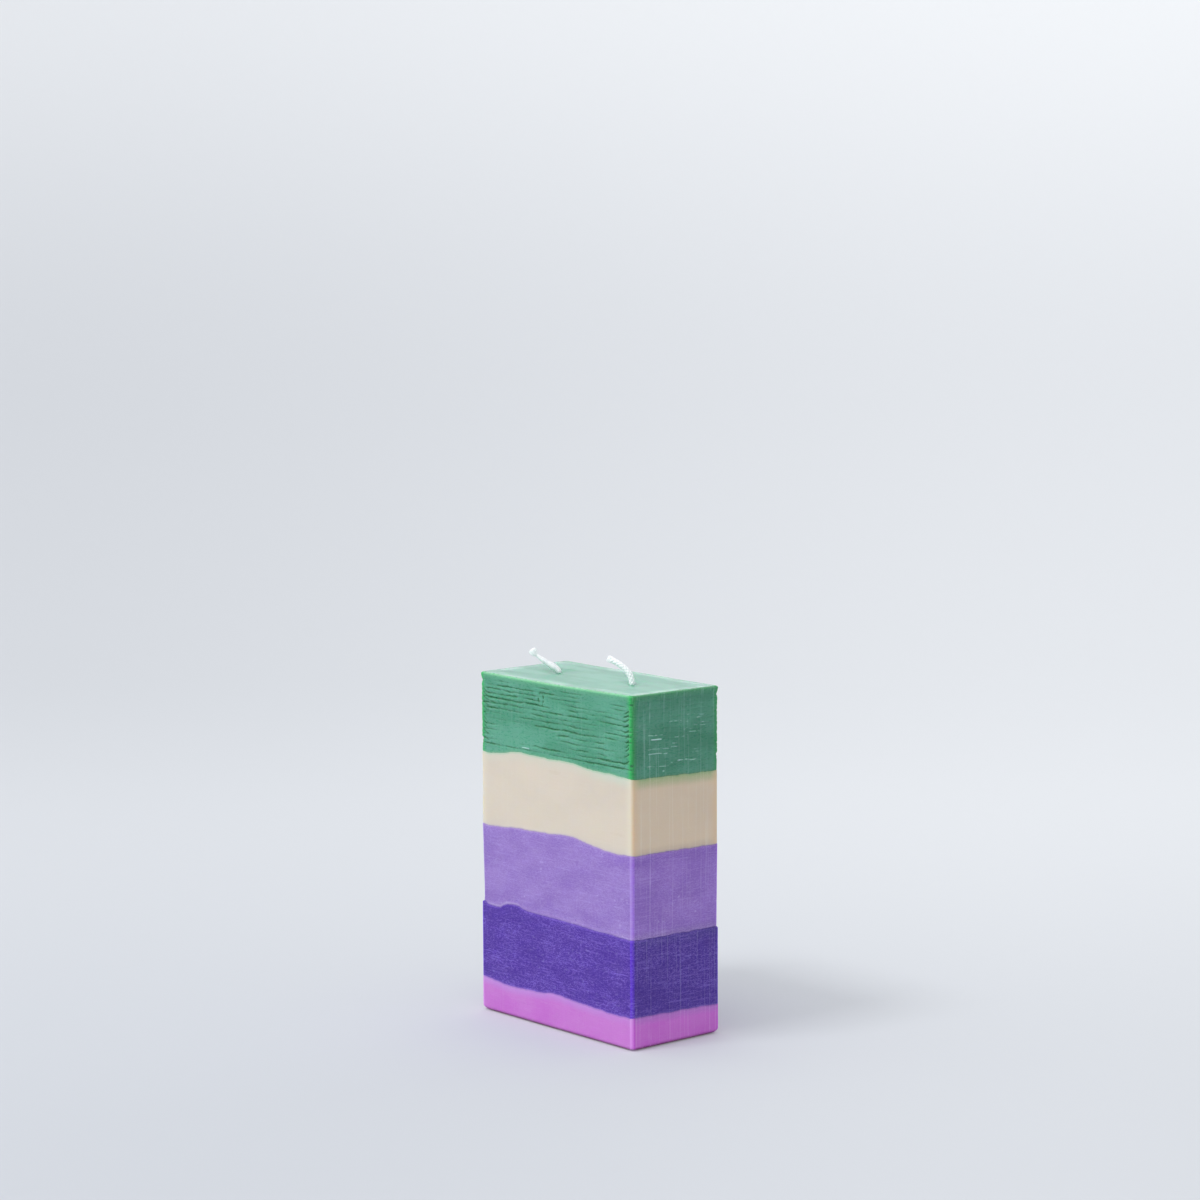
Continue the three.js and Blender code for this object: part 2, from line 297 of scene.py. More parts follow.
class WickSizes(bpy.types.PropertyGroup):
    """Sizes of the braided wicks and their sustainers."""

    diameter: length("Diameter", "Diameter of a wick", 2.0)
    lay: length("Lay", "Length of one turn of a yarn round the wick", 6.5)
    yarns: IntProperty(
        name="Yarns", description="Yarns that run each way round the braid", default=4, min=2
    )
    fibre: length("Fibre", "Diameter of a loose fibre, drawn coarser than real so that it shows", 0.24)
    tab_diameter: length("Sustainer", "Diameter of a sustainer's disc", 15.0)
    tab_thickness: length("Sustainer sheet", "Thickness of a sustainer's disc", 0.4)
    tab_recess: length("Sustainer recess", "How far a sustainer lies above the base", 0.3)
    neck_diameter: length("Neck", "Diameter of a sustainer's neck", 3.8)
    neck_height: length("Neck height", "Height of a sustainer's neck", 5.0)
    crimp_depth: length("Crimp", "Depth of the crimp in the neck", 0.3)
    crimp_height: length("Crimp height", "Height of the crimp in the neck", 2.0)


class StageSizes(bpy.types.PropertyGroup):
    """The camera, the light and the paper that the candle stands on."""

    lens: FloatProperty(name="Lens", description="Focal length of the camera", default=98.94, unit="CAMERA")
    key_power: FloatProperty(
        name="Key light", description="Power of the key light", default=4.9, unit="POWER"
    )
    key_distance: length("Key distance", "Distance of the key light", 1300.0)
    key_size: length("Key size", "Width of the key light", 300.0)
    sky_bright: FloatProperty(
        name="Bright side", description="Strength of the brighter surroundings", default=0.97
    )
    sky_dim: FloatProperty(name="Dim side", description="Strength of the dimmer surroundings", default=0.54)
    paper: colour("Paper", "The pale paper round the candle", "#cacdd2")


class CandlePanel(bpy.types.Panel):
    """Lists the steps that dress the candle, and their settings."""

    bl_label = "Candle"
    bl_idname = "VIEW3D_PT_poured_candle"
    bl_space_type = "VIEW_3D"
    bl_region_type = "UI"
    bl_category = "Candle"

    def draw(self, context):
        for step in STEPS:
            self.layout.operator(step.bl_idname)
        for group in SETTINGS:
            box = self.layout.box()
            for name in SETTINGS[group].__annotations__:
                box.prop(getattr(context.scene, group), name)


# Shared mathematics


def size(group, name):
    """A length of the wax or the wicks, in millimetres."""
    return getattr(getattr(bpy.context.scene, group), name) / MM


def wax_size(name):
    """A length of the wax, in millimetres."""
    return size("candle_wax", name)


def smooth(values, start, end):
    """Rises smoothly from 0 at start to 1 at end."""
    share = np.clip((values - start) / (end - start), 0.0, 1.0)
    return share * share * (3.0 - 2.0 * share)


def between(values, start, end, fade):
    """1 between start and end, and 0 outside them."""
    return smooth(values, start, start + fade) * smooth(-values, -end, fade - end)


def hump(values, middle, half_width):
    """1 in the middle, and almost 0 two half widths away from it."""
    return np.exp(-(((values - middle) / half_width) ** 2))


def mixed(first, second, share):
    """A value between the first and the second."""
    return first + (second - first) * share


def waver(x, y, z, seed):
    """Smooth random waves between -1 and 1, about one for each unit of x, y and z, the same on each run."""
    period = 32
    lattice = np.random.default_rng(seed).uniform(-1.0, 1.0, (period, period, period))
    cells = []
    blends = []
    for values in np.broadcast_arrays(x, y, z):
        cell = np.floor(values).astype(int)
        share = smooth(values - cell, 0.0, 1.0)
        cells.append((cell % period, (cell + 1) % period))
        blends.append((1.0 - share, share))
    total = 0.0
    for i, j, k in np.ndindex(2, 2, 2):
        weight = blends[0][i] * blends[1][j] * blends[2][k]
        total = total + weight * lattice[cells[0][i], cells[1][j], cells[2][k]]
    return total


def wave_through(values, x):
    """A smooth curve through values that are spread evenly across the width of the block."""
    stops = np.array(values)
    last = len(stops) - 1
    place = np.clip((x / HALF_WIDTH + 1.0) / 2.0, 0.0, 1.0) * last
    cell = np.minimum(np.floor(place).astype(int), last - 1)
    share = place - cell
    before, start, end, after = (stops[np.clip(cell + step, 0, last)] for step in (-1, 0, 1, 2))
    bend = 2.0 * before - 5.0 * start + 4.0 * end - after
    turn = 3.0 * (start - end) + after - before
    return start + 0.5 * share * (end - before + share * (bend + share * turn))


def line_height(line, x, y):
    """Height of a pour line: it waves along the front and the back, and runs straight between them."""
    rise = mixed(wave_through(line.front, x), wave_through(line.back, x), y / (2.0 * HALF_DEPTH) + 0.5)
    tremor = waver(x / 3.7, y / 3.7, line.level, 3) + 0.5 * waver(x / 1.3, y / 1.3, line.level, 4)
    shake = 0.0 if line is BRIM else wax_size("line_tremor") * tremor
    lip = lip_rise(x, y) if line is VIOLET_LILAC else 0.0
    return line.level + rise + shake + lip


def lip_rise(x, y):
    """How far the lip of the lilac pour rises in the notch on the front. In the tongue it falls, below 0."""
    tongue = between(x, *TONGUE, 3.0)
    notch = between(x, *NOTCH, 4.0)
    return smooth(-y, 0.0, HALF_DEPTH) * (NOTCH_RISE * notch - TONGUE_FALL * tongue)


# The wall of the block

# How many faces run along a wide face, along a narrow one and round a corner, and how many rows round an end
WIDE_FACES = 290
NARROW_FACES = 150
CORNER_FACES = 8
ROUND_ROWS = 7
# How far from its ends the relief of a wall fades out, and how far in from them its caps start
RELIEF_FADE = 0.7
CAP_MARGIN = 1.0
# A wall is flat where its normal points at least this squarely out
SQUARE = 0.99


def spread(count, crowding=0.35):
    """Places from -1 to 1 that crowd a little towards both ends."""
    share = np.linspace(0.0, 1.0, count + 1)
    return 2.0 * (share - crowding * np.sin(2.0 * np.pi * share) / (2.0 * np.pi)) - 1.0


def wall_columns():
    """The columns round the wall, anticlockwise from the front left corner: where each lies between the
    corners, its outward normal, and the first column of each corner."""
    corners = ((-1, -1), (1, -1), (1, 1), (-1, 1))
    places = []
    normals = []
    starts = []
    for corner, here in enumerate(corners):
        starts.append(len(places))
        for step in range(CORNER_FACES + 1):
            angle = math.pi * (1.0 + (corner + step / CORNER_FACES) / 2.0)
            places.append(here)
            normals.append((math.cos(angle), math.sin(angle)))
        after = corners[(corner + 1) % 4]
        faces = WIDE_FACES if corner % 2 == 0 else NARROW_FACES
        for share in (spread(faces)[1:-1] + 1.0) / 2.0:
            places.append((mixed(here[0], after[0], share), mixed(here[1], after[1], share)))
            normals.append(normals[-1])
    return np.array(places).T, np.array(normals).T, starts


(PLACE_X, PLACE_Y), (NORMAL_X, NORMAL_Y), CORNERS = wall_columns()


def outline(inset, radius):
    """x and y of the columns at an inset from the mould wall, with that radius at the corners."""
    x = PLACE_X * (HALF_WIDTH - inset - radius) + NORMAL_X * radius
    y = PLACE_Y * (HALF_DEPTH - inset - radius) + NORMAL_Y * radius
    return x, y


# What each point of the wax carries for its material. First come millimetres: above the foot of its pour,
# below its head, from the nearest pour line and from the nearest upright edge. Then come shares from 0 to 1:
# how creased it is, which is darkened as painted shade, how scuffed or lit, which is painted pale as scuffs
# and highlights, how lined by the mould it is, how strongly it takes the tints of its pour lines, which are
# partly wax of its neighbours and partly painted light, how much it faces along the block, and whether it is
# the top
DISTANCES = ("above", "below", "seam", "edge")
MEASURES = (*DISTANCES, "crease", "scuff", "mould_line", "stain", "narrow", "top")
# The distance that stands for no line or edge at all
FAR = 99.0


class Solid:
    """Collects the points, faces and measures of one closed mesh."""

    def __init__(self):
        self.points = []
        self.faces = []
        self.measures = {name: [] for name in MEASURES}
        self.count = 0

    def add(self, x, y, z, **measures):
        """Adds points, and gives their numbers."""
        x, y, z = np.broadcast_arrays(x, y, z)
        self.points.append(np.stack((x, y, z), axis=-1).reshape(-1, 3))
        for name in MEASURES:
            default = FAR if name in DISTANCES else 0.0
            values = np.broadcast_to(measures.get(name, default), x.shape)
            self.measures[name].append(values.reshape(-1))
        numbers = np.arange(self.count, self.count + x.size).reshape(x.shape)
        self.count += x.size
        return numbers

    def strip(self, lower, upper):
        """Joins two rows of points with quads."""
        quads = np.stack((lower[:-1], lower[1:], upper[1:], upper[:-1]), axis=-1)
        self.faces.extend(quads.tolist())

    def bands(self, loops):
        """Joins each closed loop of points to the next with quads."""
        for lower, upper in zip(loops[:-1], loops[1:]):
            self.strip(np.append(lower, lower[0]), np.append(upper, upper[0]))

    def fan(self, loop, tip):
        """Closes a loop with triangles that meet at a point."""
        around_loop = np.append(loop, loop[0])
        self.faces.extend([int(a), int(b), int(tip)] for a, b in zip(around_loop[:-1], around_loop[1:]))

    def cap(self, rim, holes, up):
        """Closes a loop with a level cap that leaves its holes open."""
        points = np.concatenate(self.points)
        loops = [rim, *holes]
        numbers = np.concatenate(loops)
        outlines = [[Vector((*points[n][:2], 0.0)) for n in loop] for loop in loops]
        for triangle in tessellate_polygon(outlines):
            corners = [int(numbers[i]) for i in triangle]
            a, b, c = (points[n] for n in corners)
            faces_up = (b[0] - a[0]) * (c[1] - a[1]) > (b[1] - a[1]) * (c[0] - a[0])
            self.faces.append(corners if bool(faces_up) == up else corners[::-1])

    def finish(self, name, material, sharp=60.0):
        """Makes the mesh and its object, in metres."""
        mesh = bpy.data.meshes.new(name)
        mesh.from_pydata((np.concatenate(self.points) * MM).tolist(), [], self.faces)
        for measure, values in self.measures.items():
            layer = mesh.attributes.new(measure, "FLOAT", "POINT")
            layer.data.foreach_set("value", np.concatenate(values).astype(np.float32))
        mesh.materials.append(material)
        mesh.shade_smooth()
        mesh.set_sharp_from_angle(angle=math.radians(sharp))
        made = bpy.data.objects.new(name, mesh)
        bpy.context.scene.collection.objects.link(made)
        return made


def placed(piece, slot, *nodes):
    """Rides a piece on the candle, in place of its nodes, which it hides. Its slot is not used."""
    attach(piece, "root")
    if nodes:
        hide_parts(*nodes)


# One end of a pour's wall: the surface that it ends on, the inset and corner radius there, the radius that
# rounds it, the wall's own inset next to it, and whether it is open to the air
WallEnd = namedtuple("WallEnd", "surface inset corner rounding wall open")


def line_end(line, wall, rounding="line_radius", lean=0.0):
    """The end of a wall at a pour line. The lean sets the left face further in."""
    leaning = np.maximum(0.0, -NORMAL_X)
    return WallEnd(
        partial(line_height, line),
        line.inset + line.lean * leaning,
        wax_size("upright_radius"),
        wax_size(rounding),
        wall + lean * leaning,
        False,
    )


def base_surface(x, y):
    """The level base."""
    return 0.0 * (x + y)


def base_end():
    """The end of the first pour's wall at the base, rounded by the mould."""
    foot = wax_size("foot_radius")
    return WallEnd(base_surface, foot, wax_size("foot_corner_radius"), foot, 0.0, True)


def brim_end():
    """The end of the last pour's wall at the top."""
    upright = wax_size("upright_radius")
    return WallEnd(partial(line_height, BRIM), BRIM.inset, upright, BRIM_RADIUS, BRIM_SHRINK, True)


def pour_wall(solid, low, high, row_height, relief, flare=1.0, stain=1.0):
    """Adds the wall of a pour, from its rounded foot to its rounded head, and gives its rows of points. Its
    inset drifts from that of the foot to that of the head, later with more flare."""
    upright = wax_size("upright_radius")
    ends = [end.surface(*outline(end.inset, end.corner)) for end in (low, high)]
    rows = []

    def rounded(end, height, sign, turn):
        """Adds a row on the rounded edge of an end."""
        turned = math.sin(turn)
        rise = sign * end.rounding * (1.0 - math.cos(turn))
        rows.append((height + rise, mixed(end.inset, end.wall, turned), mixed(end.corner, upright, turned)))

    turns = np.linspace(0.0, math.pi / 2.0, ROUND_ROWS)
    for turn in turns:
        rounded(low, ends[0], 1.0, turn)
    start = ends[0] + low.rounding
    stop = ends[1] - high.rounding
    count = int(round(float(np.mean(stop - start)) / row_height))
    for share in np.linspace(0.0, 1.0, count + 1)[1:-1]:
        rows.append((mixed(start, stop, share), mixed(low.wall, high.wall, share**flare), upright))
    for turn in turns[::-1]:
        rounded(high, ends[1], -1.0, turn)
    shape = (len(rows), len(PLACE_X))
    z = np.array([np.broadcast_to(row[0], shape[1]) for row in rows])
    inset = np.array([np.broadcast_to(row[1], shape[1]) for row in rows])
    x, y = outline(inset, np.array([[row[2]] for row in rows]))
    above = z - ends[0]
    below = ends[1] - z
    press, crease, scuff = relief(x, y, z, above, below)
    settle = smooth(np.minimum(above, below), 0.0, RELIEF_FADE)
    x = x - NORMAL_X * press * settle
    y = y - NORMAL_Y * press * settle
    from_edge = np.where(np.abs(NORMAL_Y) > SQUARE, HALF_WIDTH - np.abs(x), HALF_DEPTH - np.abs(y))
    is_flat = np.maximum(np.abs(NORMAL_X), np.abs(NORMAL_Y)) > SQUARE
    lines = sum(strength * hump(y, place, 0.28) for place, strength in MOULD_LINES)
    lines = lines * NORMAL_X**4 * (0.6 + 0.6 * waver(y, 0.0, z / 2.2, 31))
    return solid.add(
        x,
        y,
        z,
        above=above,
        below=below,
        seam=np.minimum(FAR if low.open else above, FAR if high.open else below),
        edge=np.where(is_flat, from_edge, 0.0),
        crease=np.clip(crease, 0.0, 1.0) * settle,
        scuff=np.clip(scuff, 0.0, 1.0) * settle,
        mould_line=np.clip(lines, 0.0, 1.0),
        stain=stain,
        narrow=np.broadcast_to(NORMAL_X**2, shape),
    )


def stain_and_glow_by_face(left, right):
    """How strongly a pour's wall takes the tints of its pour lines, which are partly wax of its neighbours
    and partly painted light carried across the lines: fully on the narrow faces, and less on the wide ones,
    where it changes from left to right."""
    x = outline(0.0, wax_size("upright_radius"))[0]
    on_wide = mixed(left, right, smooth(x, 12.0, 46.0))
    return mixed(on_wide, 1.0, NORMAL_X**2)


# The relief of each wall: how far it is pressed in, how creased it is, which is darkened as painted shade,
# and how scuffed or lit, which is painted pale as scuffs and highlights


def swell(x, y, z, seed):
    """The gentle swell that a wall keeps from the mould and from cooling."""
    broad = SWELL * waver(x / 17.0, y / 17.0, z / 13.0, seed)
    return broad + FINE_SWELL * waver(x / 4.0, y / 4.0, z / 3.0, seed)


def level_marks(x, y, z, seed, pitch):
    """Faint level striae where a pour rose in the cool mould, in patches."""
    striae = waver(x / 22.0, y / 22.0, z / pitch, seed)
    patches = waver(x / 10.0, y / 10.0, z / 6.0, seed + 1)
    return smooth(striae, 0.3, 0.8) * smooth(patches, -0.2, 0.5)


def smooth_relief(seed, striae=0.0, pitch=1.1):
    """The relief of a wall that set smooth, with faint striae."""

    def relief(x, y, z, above, below):
        """How far the wall is pressed in, how creased it is and how scuffed."""
        marks = level_marks(x, y, z, seed, pitch)
        # Its striae are darkened a little as painted shade
        return swell(x, y, z, seed) + striae * marks, 0.3 * marks, np.zeros_like(x)

    return relief


def lilac_relief(x, y, z, above, below):
    """The wall of the third pour: its foot has a thin lip over the violet, with a few pits behind it."""
    marks = level_marks(x, y, z, 61, 1.0)
    front = smooth(-NORMAL_Y, 0.3, 0.95)
    lip = front * hump(above, 0.9, 0.55) * (0.7 + 0.5 * waver(x / 5.0, y / 5.0, 0.0, 62))
    behind = hump(above, 2.0, 0.3) * smooth(waver(x / 2.6, y / 2.6, 4.0, 63), 0.1, 0.6)
    marked = sum(hump(x, place, 0.9) * hump(above, 1.9, 0.35) for place in LILAC_PITS)
    pits = front * behind + front * marked
    patches = smooth(waver(x / 9.0, y / 9.0, z / 7.0, 65), -0.2, 0.5)
    flecks = smooth(waver(x / 1.6, y / 1.6, z / 0.5, 64), 0.55, 0.8) * patches
    # A pale painted highlight along the top of the lip on the left of the front, where it catches the light
    pale = front * hump(above, 0.8, 0.5) * between(x, -48.0, -22.0, 3.0)
    press = swell(x, y, z, 60) + LILAC_STRIAE * marks - LILAC_LIP * lip + LILAC_PIT * pits
    # The pits are darkened as painted shade; the pale flecks and the painted highlight go to the scuffs
    return press, 0.25 * marks + 0.8 * pits, 0.5 * flecks + 0.5 * pale


def violet_relief(x, y, z, above, below):
    """The wall of the second pour: close level ripples, and flecks of frost."""
    ripple = waver(x / 3.2, y / 3.2, z / 0.9, 52)
    patches = smooth(waver(x / 12.0, y / 12.0, z / 9.0, 53), -0.6, 0.4)
    flecks = smooth(waver(x / 1.3, y / 1.3, z / 0.55, 54), 0.5, 0.8) * patches
    press = swell(x, y, z, 50) + VIOLET_RIPPLE * ripple * patches
    # The grooves of the ripples are darkened as painted shade
    return press, 0.35 * smooth(ripple, 0.2, 0.9), 0.4 * flecks


def scattered_folds(seed):
    """Folds scattered over the back at the same heights as those of the front."""
    chance = np.random.default_rng(seed)
    folds = {}
    for height in FRONT_FOLDS:
        stretches = []
        left = -HALF_WIDTH + chance.uniform(2.0, 14.0)
        while left < HALF_WIDTH - 6.0:
            right = min(left + chance.uniform(6.0, 26.0), HALF_WIDTH - 3.0)
            stretches.append((left, right, chance.uniform(0.3, 1.0)))
            left = right + chance.uniform(1.0, 14.0)
        folds[height] = stretches
    return folds


def fold_creases(along, z, folds, seed):
    """Creases along the folds, and the lips that bulge out under them."""
    width = wax_size("fold_width")
    crease = np.zeros_like(z)
    lip = np.zeros_like(z)
    for height, stretches in folds.items():
        path = height + FOLD_WANDER * waver(along / 6.0, 0.0, height, seed)
        path = path + FINE_FOLD_WANDER * waver(along / 1.5, 1.0, height, seed)
        uneven = 0.7 + 0.5 * waver(along / 2.2, 5.0, height, seed)
        uneven = uneven * mixed(1.0, 0.6, smooth(along, 12.0, 26.0))
        for left, right, strength in stretches:
            reach = strength * uneven * between(along, left, right, 2.5)
            crease = np.maximum(crease, reach * hump(z, path, width))
            lip = np.maximum(lip, reach * hump(z, path - LIP_DROP, 0.6))
    return crease, lip


def ripples(along, z, seed):
    """The shallow ripples between the creases, which die out over the calm patches: their grooves, and the
    upper side of each."""
    levels = sorted(FRONT_FOLDS)
    phase = np.interp(z, levels, np.arange(len(levels))) + 0.14 * waver(along / 7.0, z / 4.0, 0.0, seed)
    phase = phase + 0.07 * waver(along / 1.5, z / 1.5, 0.0, seed + 2)
    calm = np.zeros_like(z)
    for middle, height, half_length, half_height in CALM_PATCHES:
        distance = np.hypot((along - middle) / half_length, (z - height) / half_height)
        calm = np.maximum(calm, smooth(-distance, -1.15, -0.75))
    uneven = smooth(waver(along / 6.0, z / 1.6, 0.0, seed + 1), -0.9, 0.7)
    uneven = uneven * (1.0 - 0.85 * calm) * between(z, levels[0] - 0.6, levels[-1] + 0.6, 0.6)
    groove = (1.0 - np.abs(np.sin(np.pi * phase))) ** 2
    return groove * uneven, np.maximum(0.0, -np.sin(2.0 * np.pi * phase)) * uneven


def hooks(along, z):
    """Short creases that curl up into the bead at the end of a wide face, where along is half the width."""
    crease = np.zeros_like(z)
    end = HALF_WIDTH - BEAD_REACH
    for number, height in enumerate(HOOK_HEIGHTS):
        reach = 4.0 + 1.5 * math.sin(7.0 * number)
        share = np.clip((along - (end - reach)) / reach, 0.0, 1.0)
        path = height - 0.7 + 1.3 * share**3
        strength = smooth(share, 0.05, 0.7) * smooth(-along, -end - 0.8, -end)
        crease = np.maximum(crease, strength * hump(z, path, 0.36))
    return crease


def curl(along, z):
    """A small curl in the folds left of the middle of the front."""
    turn = np.hypot((along - CURL_PLACE) / 1.7, (z - CURL_HEIGHT) / 2.6)
    return 0.9 * hump(turn, 1.0, 0.3) * smooth(waver(along / 0.9, z / 0.9, 0.0, 41), -0.2, 0.4)


def narrow_marks(y, z):
    """Pale broken marks where the last pour crept along the narrow faces."""
    marks = np.zeros_like(z)
    for height, left, right, strength in NARROW_MARKS:
        path = height + 0.25 * waver(y / 3.0, 0.0, height, 34) - 0.06 * (y - (left + right) / 2.0)
        broken = smooth(waver(y / 1.2, 3.0, height, 35), -0.7, 0.1)
        reach = strength * mixed(broken, 1.0, strength**2) * between(y, left, right, 0.9)
        marks = np.maximum(marks, reach * hump(z, path, 0.26))
    return marks


def green_relief(x, y, z, above, below):
    """The wall of the last pour: folds on the wide faces, pale level marks on the narrow ones, and a smooth
    bead on the upright edges."""
    front = smooth(-NORMAL_Y, 0.3, 0.95)
    back = smooth(NORMAL_Y, 0.3, 0.95)
    front_crease, front_lip = fold_creases(x, z, FRONT_FOLDS, 11)
    back_crease, back_lip = fold_creases(-x, z, scattered_folds(23), 12)
    front_marks = np.maximum.reduce([front_crease, curl(x, z), hooks(x, z), 0.7 * hooks(-x, z + 0.8)])
    back_marks = np.maximum.reduce([back_crease, hooks(-x, z - 0.5), 0.7 * hooks(x, z + 0.4)])
    crease = front * front_marks + back * back_marks
    lip = front * front_lip + back * back_lip
    shallow, upper = (
        front * on_front + back * on_back + 0.35 * NORMAL_X**2 * on_narrow
        for on_front, on_back, on_narrow in zip(ripples(x, z, 13), ripples(-x, z, 15), ripples(y, z, 17))
    )
    corner = 1.0 - np.maximum(np.abs(NORMAL_X), np.abs(NORMAL_Y)) ** 8
    beside = smooth(np.abs(x), HALF_WIDTH - BEAD_REACH, HALF_WIDTH - 1.0) * np.abs(NORMAL_Y)
    near_edge = np.maximum(corner, beside)
    bead = near_edge * between(z, BEAD_FOOT, BEAD_HEAD, 1.4)
    tremble = near_edge * waver(x / 9.0, y / 9.0, z / 2.4, 19)
    pits = near_edge * (hump(z, BEAD_FOOT, 0.5) + hump(z, BEAD_HEAD, 0.5))
    dashes = NORMAL_X**2 * smooth(waver(x / 2.2, y / 2.2, z / 0.55, 16), 0.34, 0.6)
    dashes = dashes * smooth(waver(x / 8.0, y / 8.0, z / 4.0, 18), -0.1, 0.4) * smooth(-z, -142.0, -138.0)
    marks = NORMAL_X**2 * narrow_marks(np.where(NORMAL_X > 0.0, y, -y), z)
    glint = front * hump(z, GLINT_HEIGHT, 0.22) * between(x, *GLINT_ENDS, 1.5)
    press = swell(x, y, z, 10) + wax_size("fold_depth") * (crease - 0.4 * lip + 1.1 * shallow)
    press = press - wax_size("bead") * bead + BEAD_TREMBLE * tremble + BEAD_PIT * pits
    press = press + DASH * dashes - PALE_MARK * (marks + glint)
    # The creases, the grooves of the ripples and the pits are darkened as painted shade
    crease = crease + 0.85 * shallow + pits
    # Pale dashes and marks, with painted highlights on the upper side of each ripple, on the lips and on the
    # glint
    return press, crease, 0.5 * dashes + 0.06 * lip + 0.24 * upper + marks + glint


# The top round the wicks, and the bores that they fill

# How far each ring along the brim lies in from the one before
BRIM_STEPS = (0.35, 0.5, 0.7)
# Half the width of the gap that the even faces of the top leave for a wick, the rings that fill it, and how
# they crowd towards the wick
HALF_GAP = 5.0
GAP_RINGS = 17
GAP_CROWDING = 1.6


def wick_axis(side):
    """Where a wick stands, from the sustainer that holds it."""
    low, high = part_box(f"wick_tab_{side}")
    return (low.x + high.x) / (2.0 * MM), (low.y + high.y) / (2.0 * MM)


def top_height(x, y):
    """Height of the top: it sinks round each wick, and wax climbs the wick itself."""
    height = line_height(BRIM, x, y) + TOP_SWELL * waver(x / 15.0, y / 7.0, 2.0, 21)
    for side in SIDES:
        wick_x, wick_y = wick_axis(side)
        distance = np.hypot(x - wick_x, y - wick_y)
        sink = (1.0 - np.minimum(1.0, distance / wax_size("sink_radius")) ** 2) ** 2
        climb = (1.0 - np.minimum(1.0, distance / wax_size("climb_radius"))) ** 2
        height = height + wax_size("climb_height") * climb - wax_size("sink_depth") * sink
    return height


def wick_pits(x, y):
    """The ragged pits in the wax at the foot of a wick that stands at x = y = 0."""
    ring = hump(np.hypot(x, y), 1.5, 0.35)
    return ring * smooth(waver(x / 0.7, y / 0.7, 3.0, 22), -0.1, 0.5)


def circle(centre, radius, angles):
    """x and y of points on a circle."""
    return centre[0] + radius * np.cos(angles), centre[1] + radius * np.sin(angles)


def bore_angles(count=48):
    """Evenly spaced angles round a bore."""
    return np.arange(count) * 2.0 * np.pi / count


def wick_radius():
    """Radius of a wick and of its bore, in millimetres."""
    return size("candle_wicks", "diameter") / 2.0


def plain_bore(low, high, solid, side):
    """The loops of points round a wick's bore, from the head of a pour to its foot."""
    x, y = circle(wick_axis(side), wick_radius(), bore_angles())
    return [solid.add(x, y, high.surface(x, y)), solid.add(x, y, low.surface(x, y))]


def sustainer_profile():
    """Radius and height along the outside of a sustainer, from its disc up and in to the wick."""
    wicks = partial(size, "candle_wicks")
    recess = wicks("tab_recess")
    top = recess + wicks("tab_thickness")
    neck = wicks("neck_diameter") / 2.0
    middle = top + wicks("neck_height") / 2.0
    half_crimp = wicks("crimp_height") / 2.0
    neck_top = top + wicks("neck_height")
    return (
        (wicks("tab_diameter") / 2.0, recess),
        (wicks("tab_diameter") / 2.0, top),
        (neck, top),
        (neck, middle - half_crimp),
        (neck - wicks("crimp_depth"), middle),
        (neck, middle + half_crimp),
        (neck, neck_top),
        (wick_radius(), neck_top),
    )


def seated_bore(low, high, solid, side):
    """The loops round a wick's bore in the first pour, which widens to seat the sustainer."""
    angles = bore_angles()
    centre = wick_axis(side)
    x, y = circle(centre, wick_radius(), angles)
    loops = [solid.add(x, y, high.surface(x, y))]
    profile = sustainer_profile()
    for radius, height in (*profile[::-1], (profile[0][0], 0.0)):
        loops.append(solid.add(*circle(centre, radius, angles), height))
    return loops


def margin(solid, end):
    """A ring of plain points a little way in from the end of a wall, where its cap starts."""
    x, y = outline(end.inset + CAP_MARGIN, end.corner)
    return solid.add(x, y, end.surface(x, y))


def cast_pour(name, slot, material, low, high, relief, bore, stains_and_glows=(0.4, 0.95)):
    """Builds one of the lower pours, and puts it in place of its layer."""
    solid = Solid()
    walls = pour_wall(solid, low, high, wax_size("row_height"), relief, stain=stain_and_glow_by_face(*stains_and_glows))
    rows = [margin(solid, low), *walls, margin(solid, high)]
    solid.bands(rows)
    bores = [bore(low, high, solid, side) for side in SIDES]
    for loops in bores:
        solid.bands(loops)
    solid.cap(rows[-1], [loops[0] for loops in bores], True)
    solid.cap(rows[0], [loops[-1] for loops in bores], False)
    placed(solid.finish(f"{name}_pour", material), slot, f"{name}_layer")


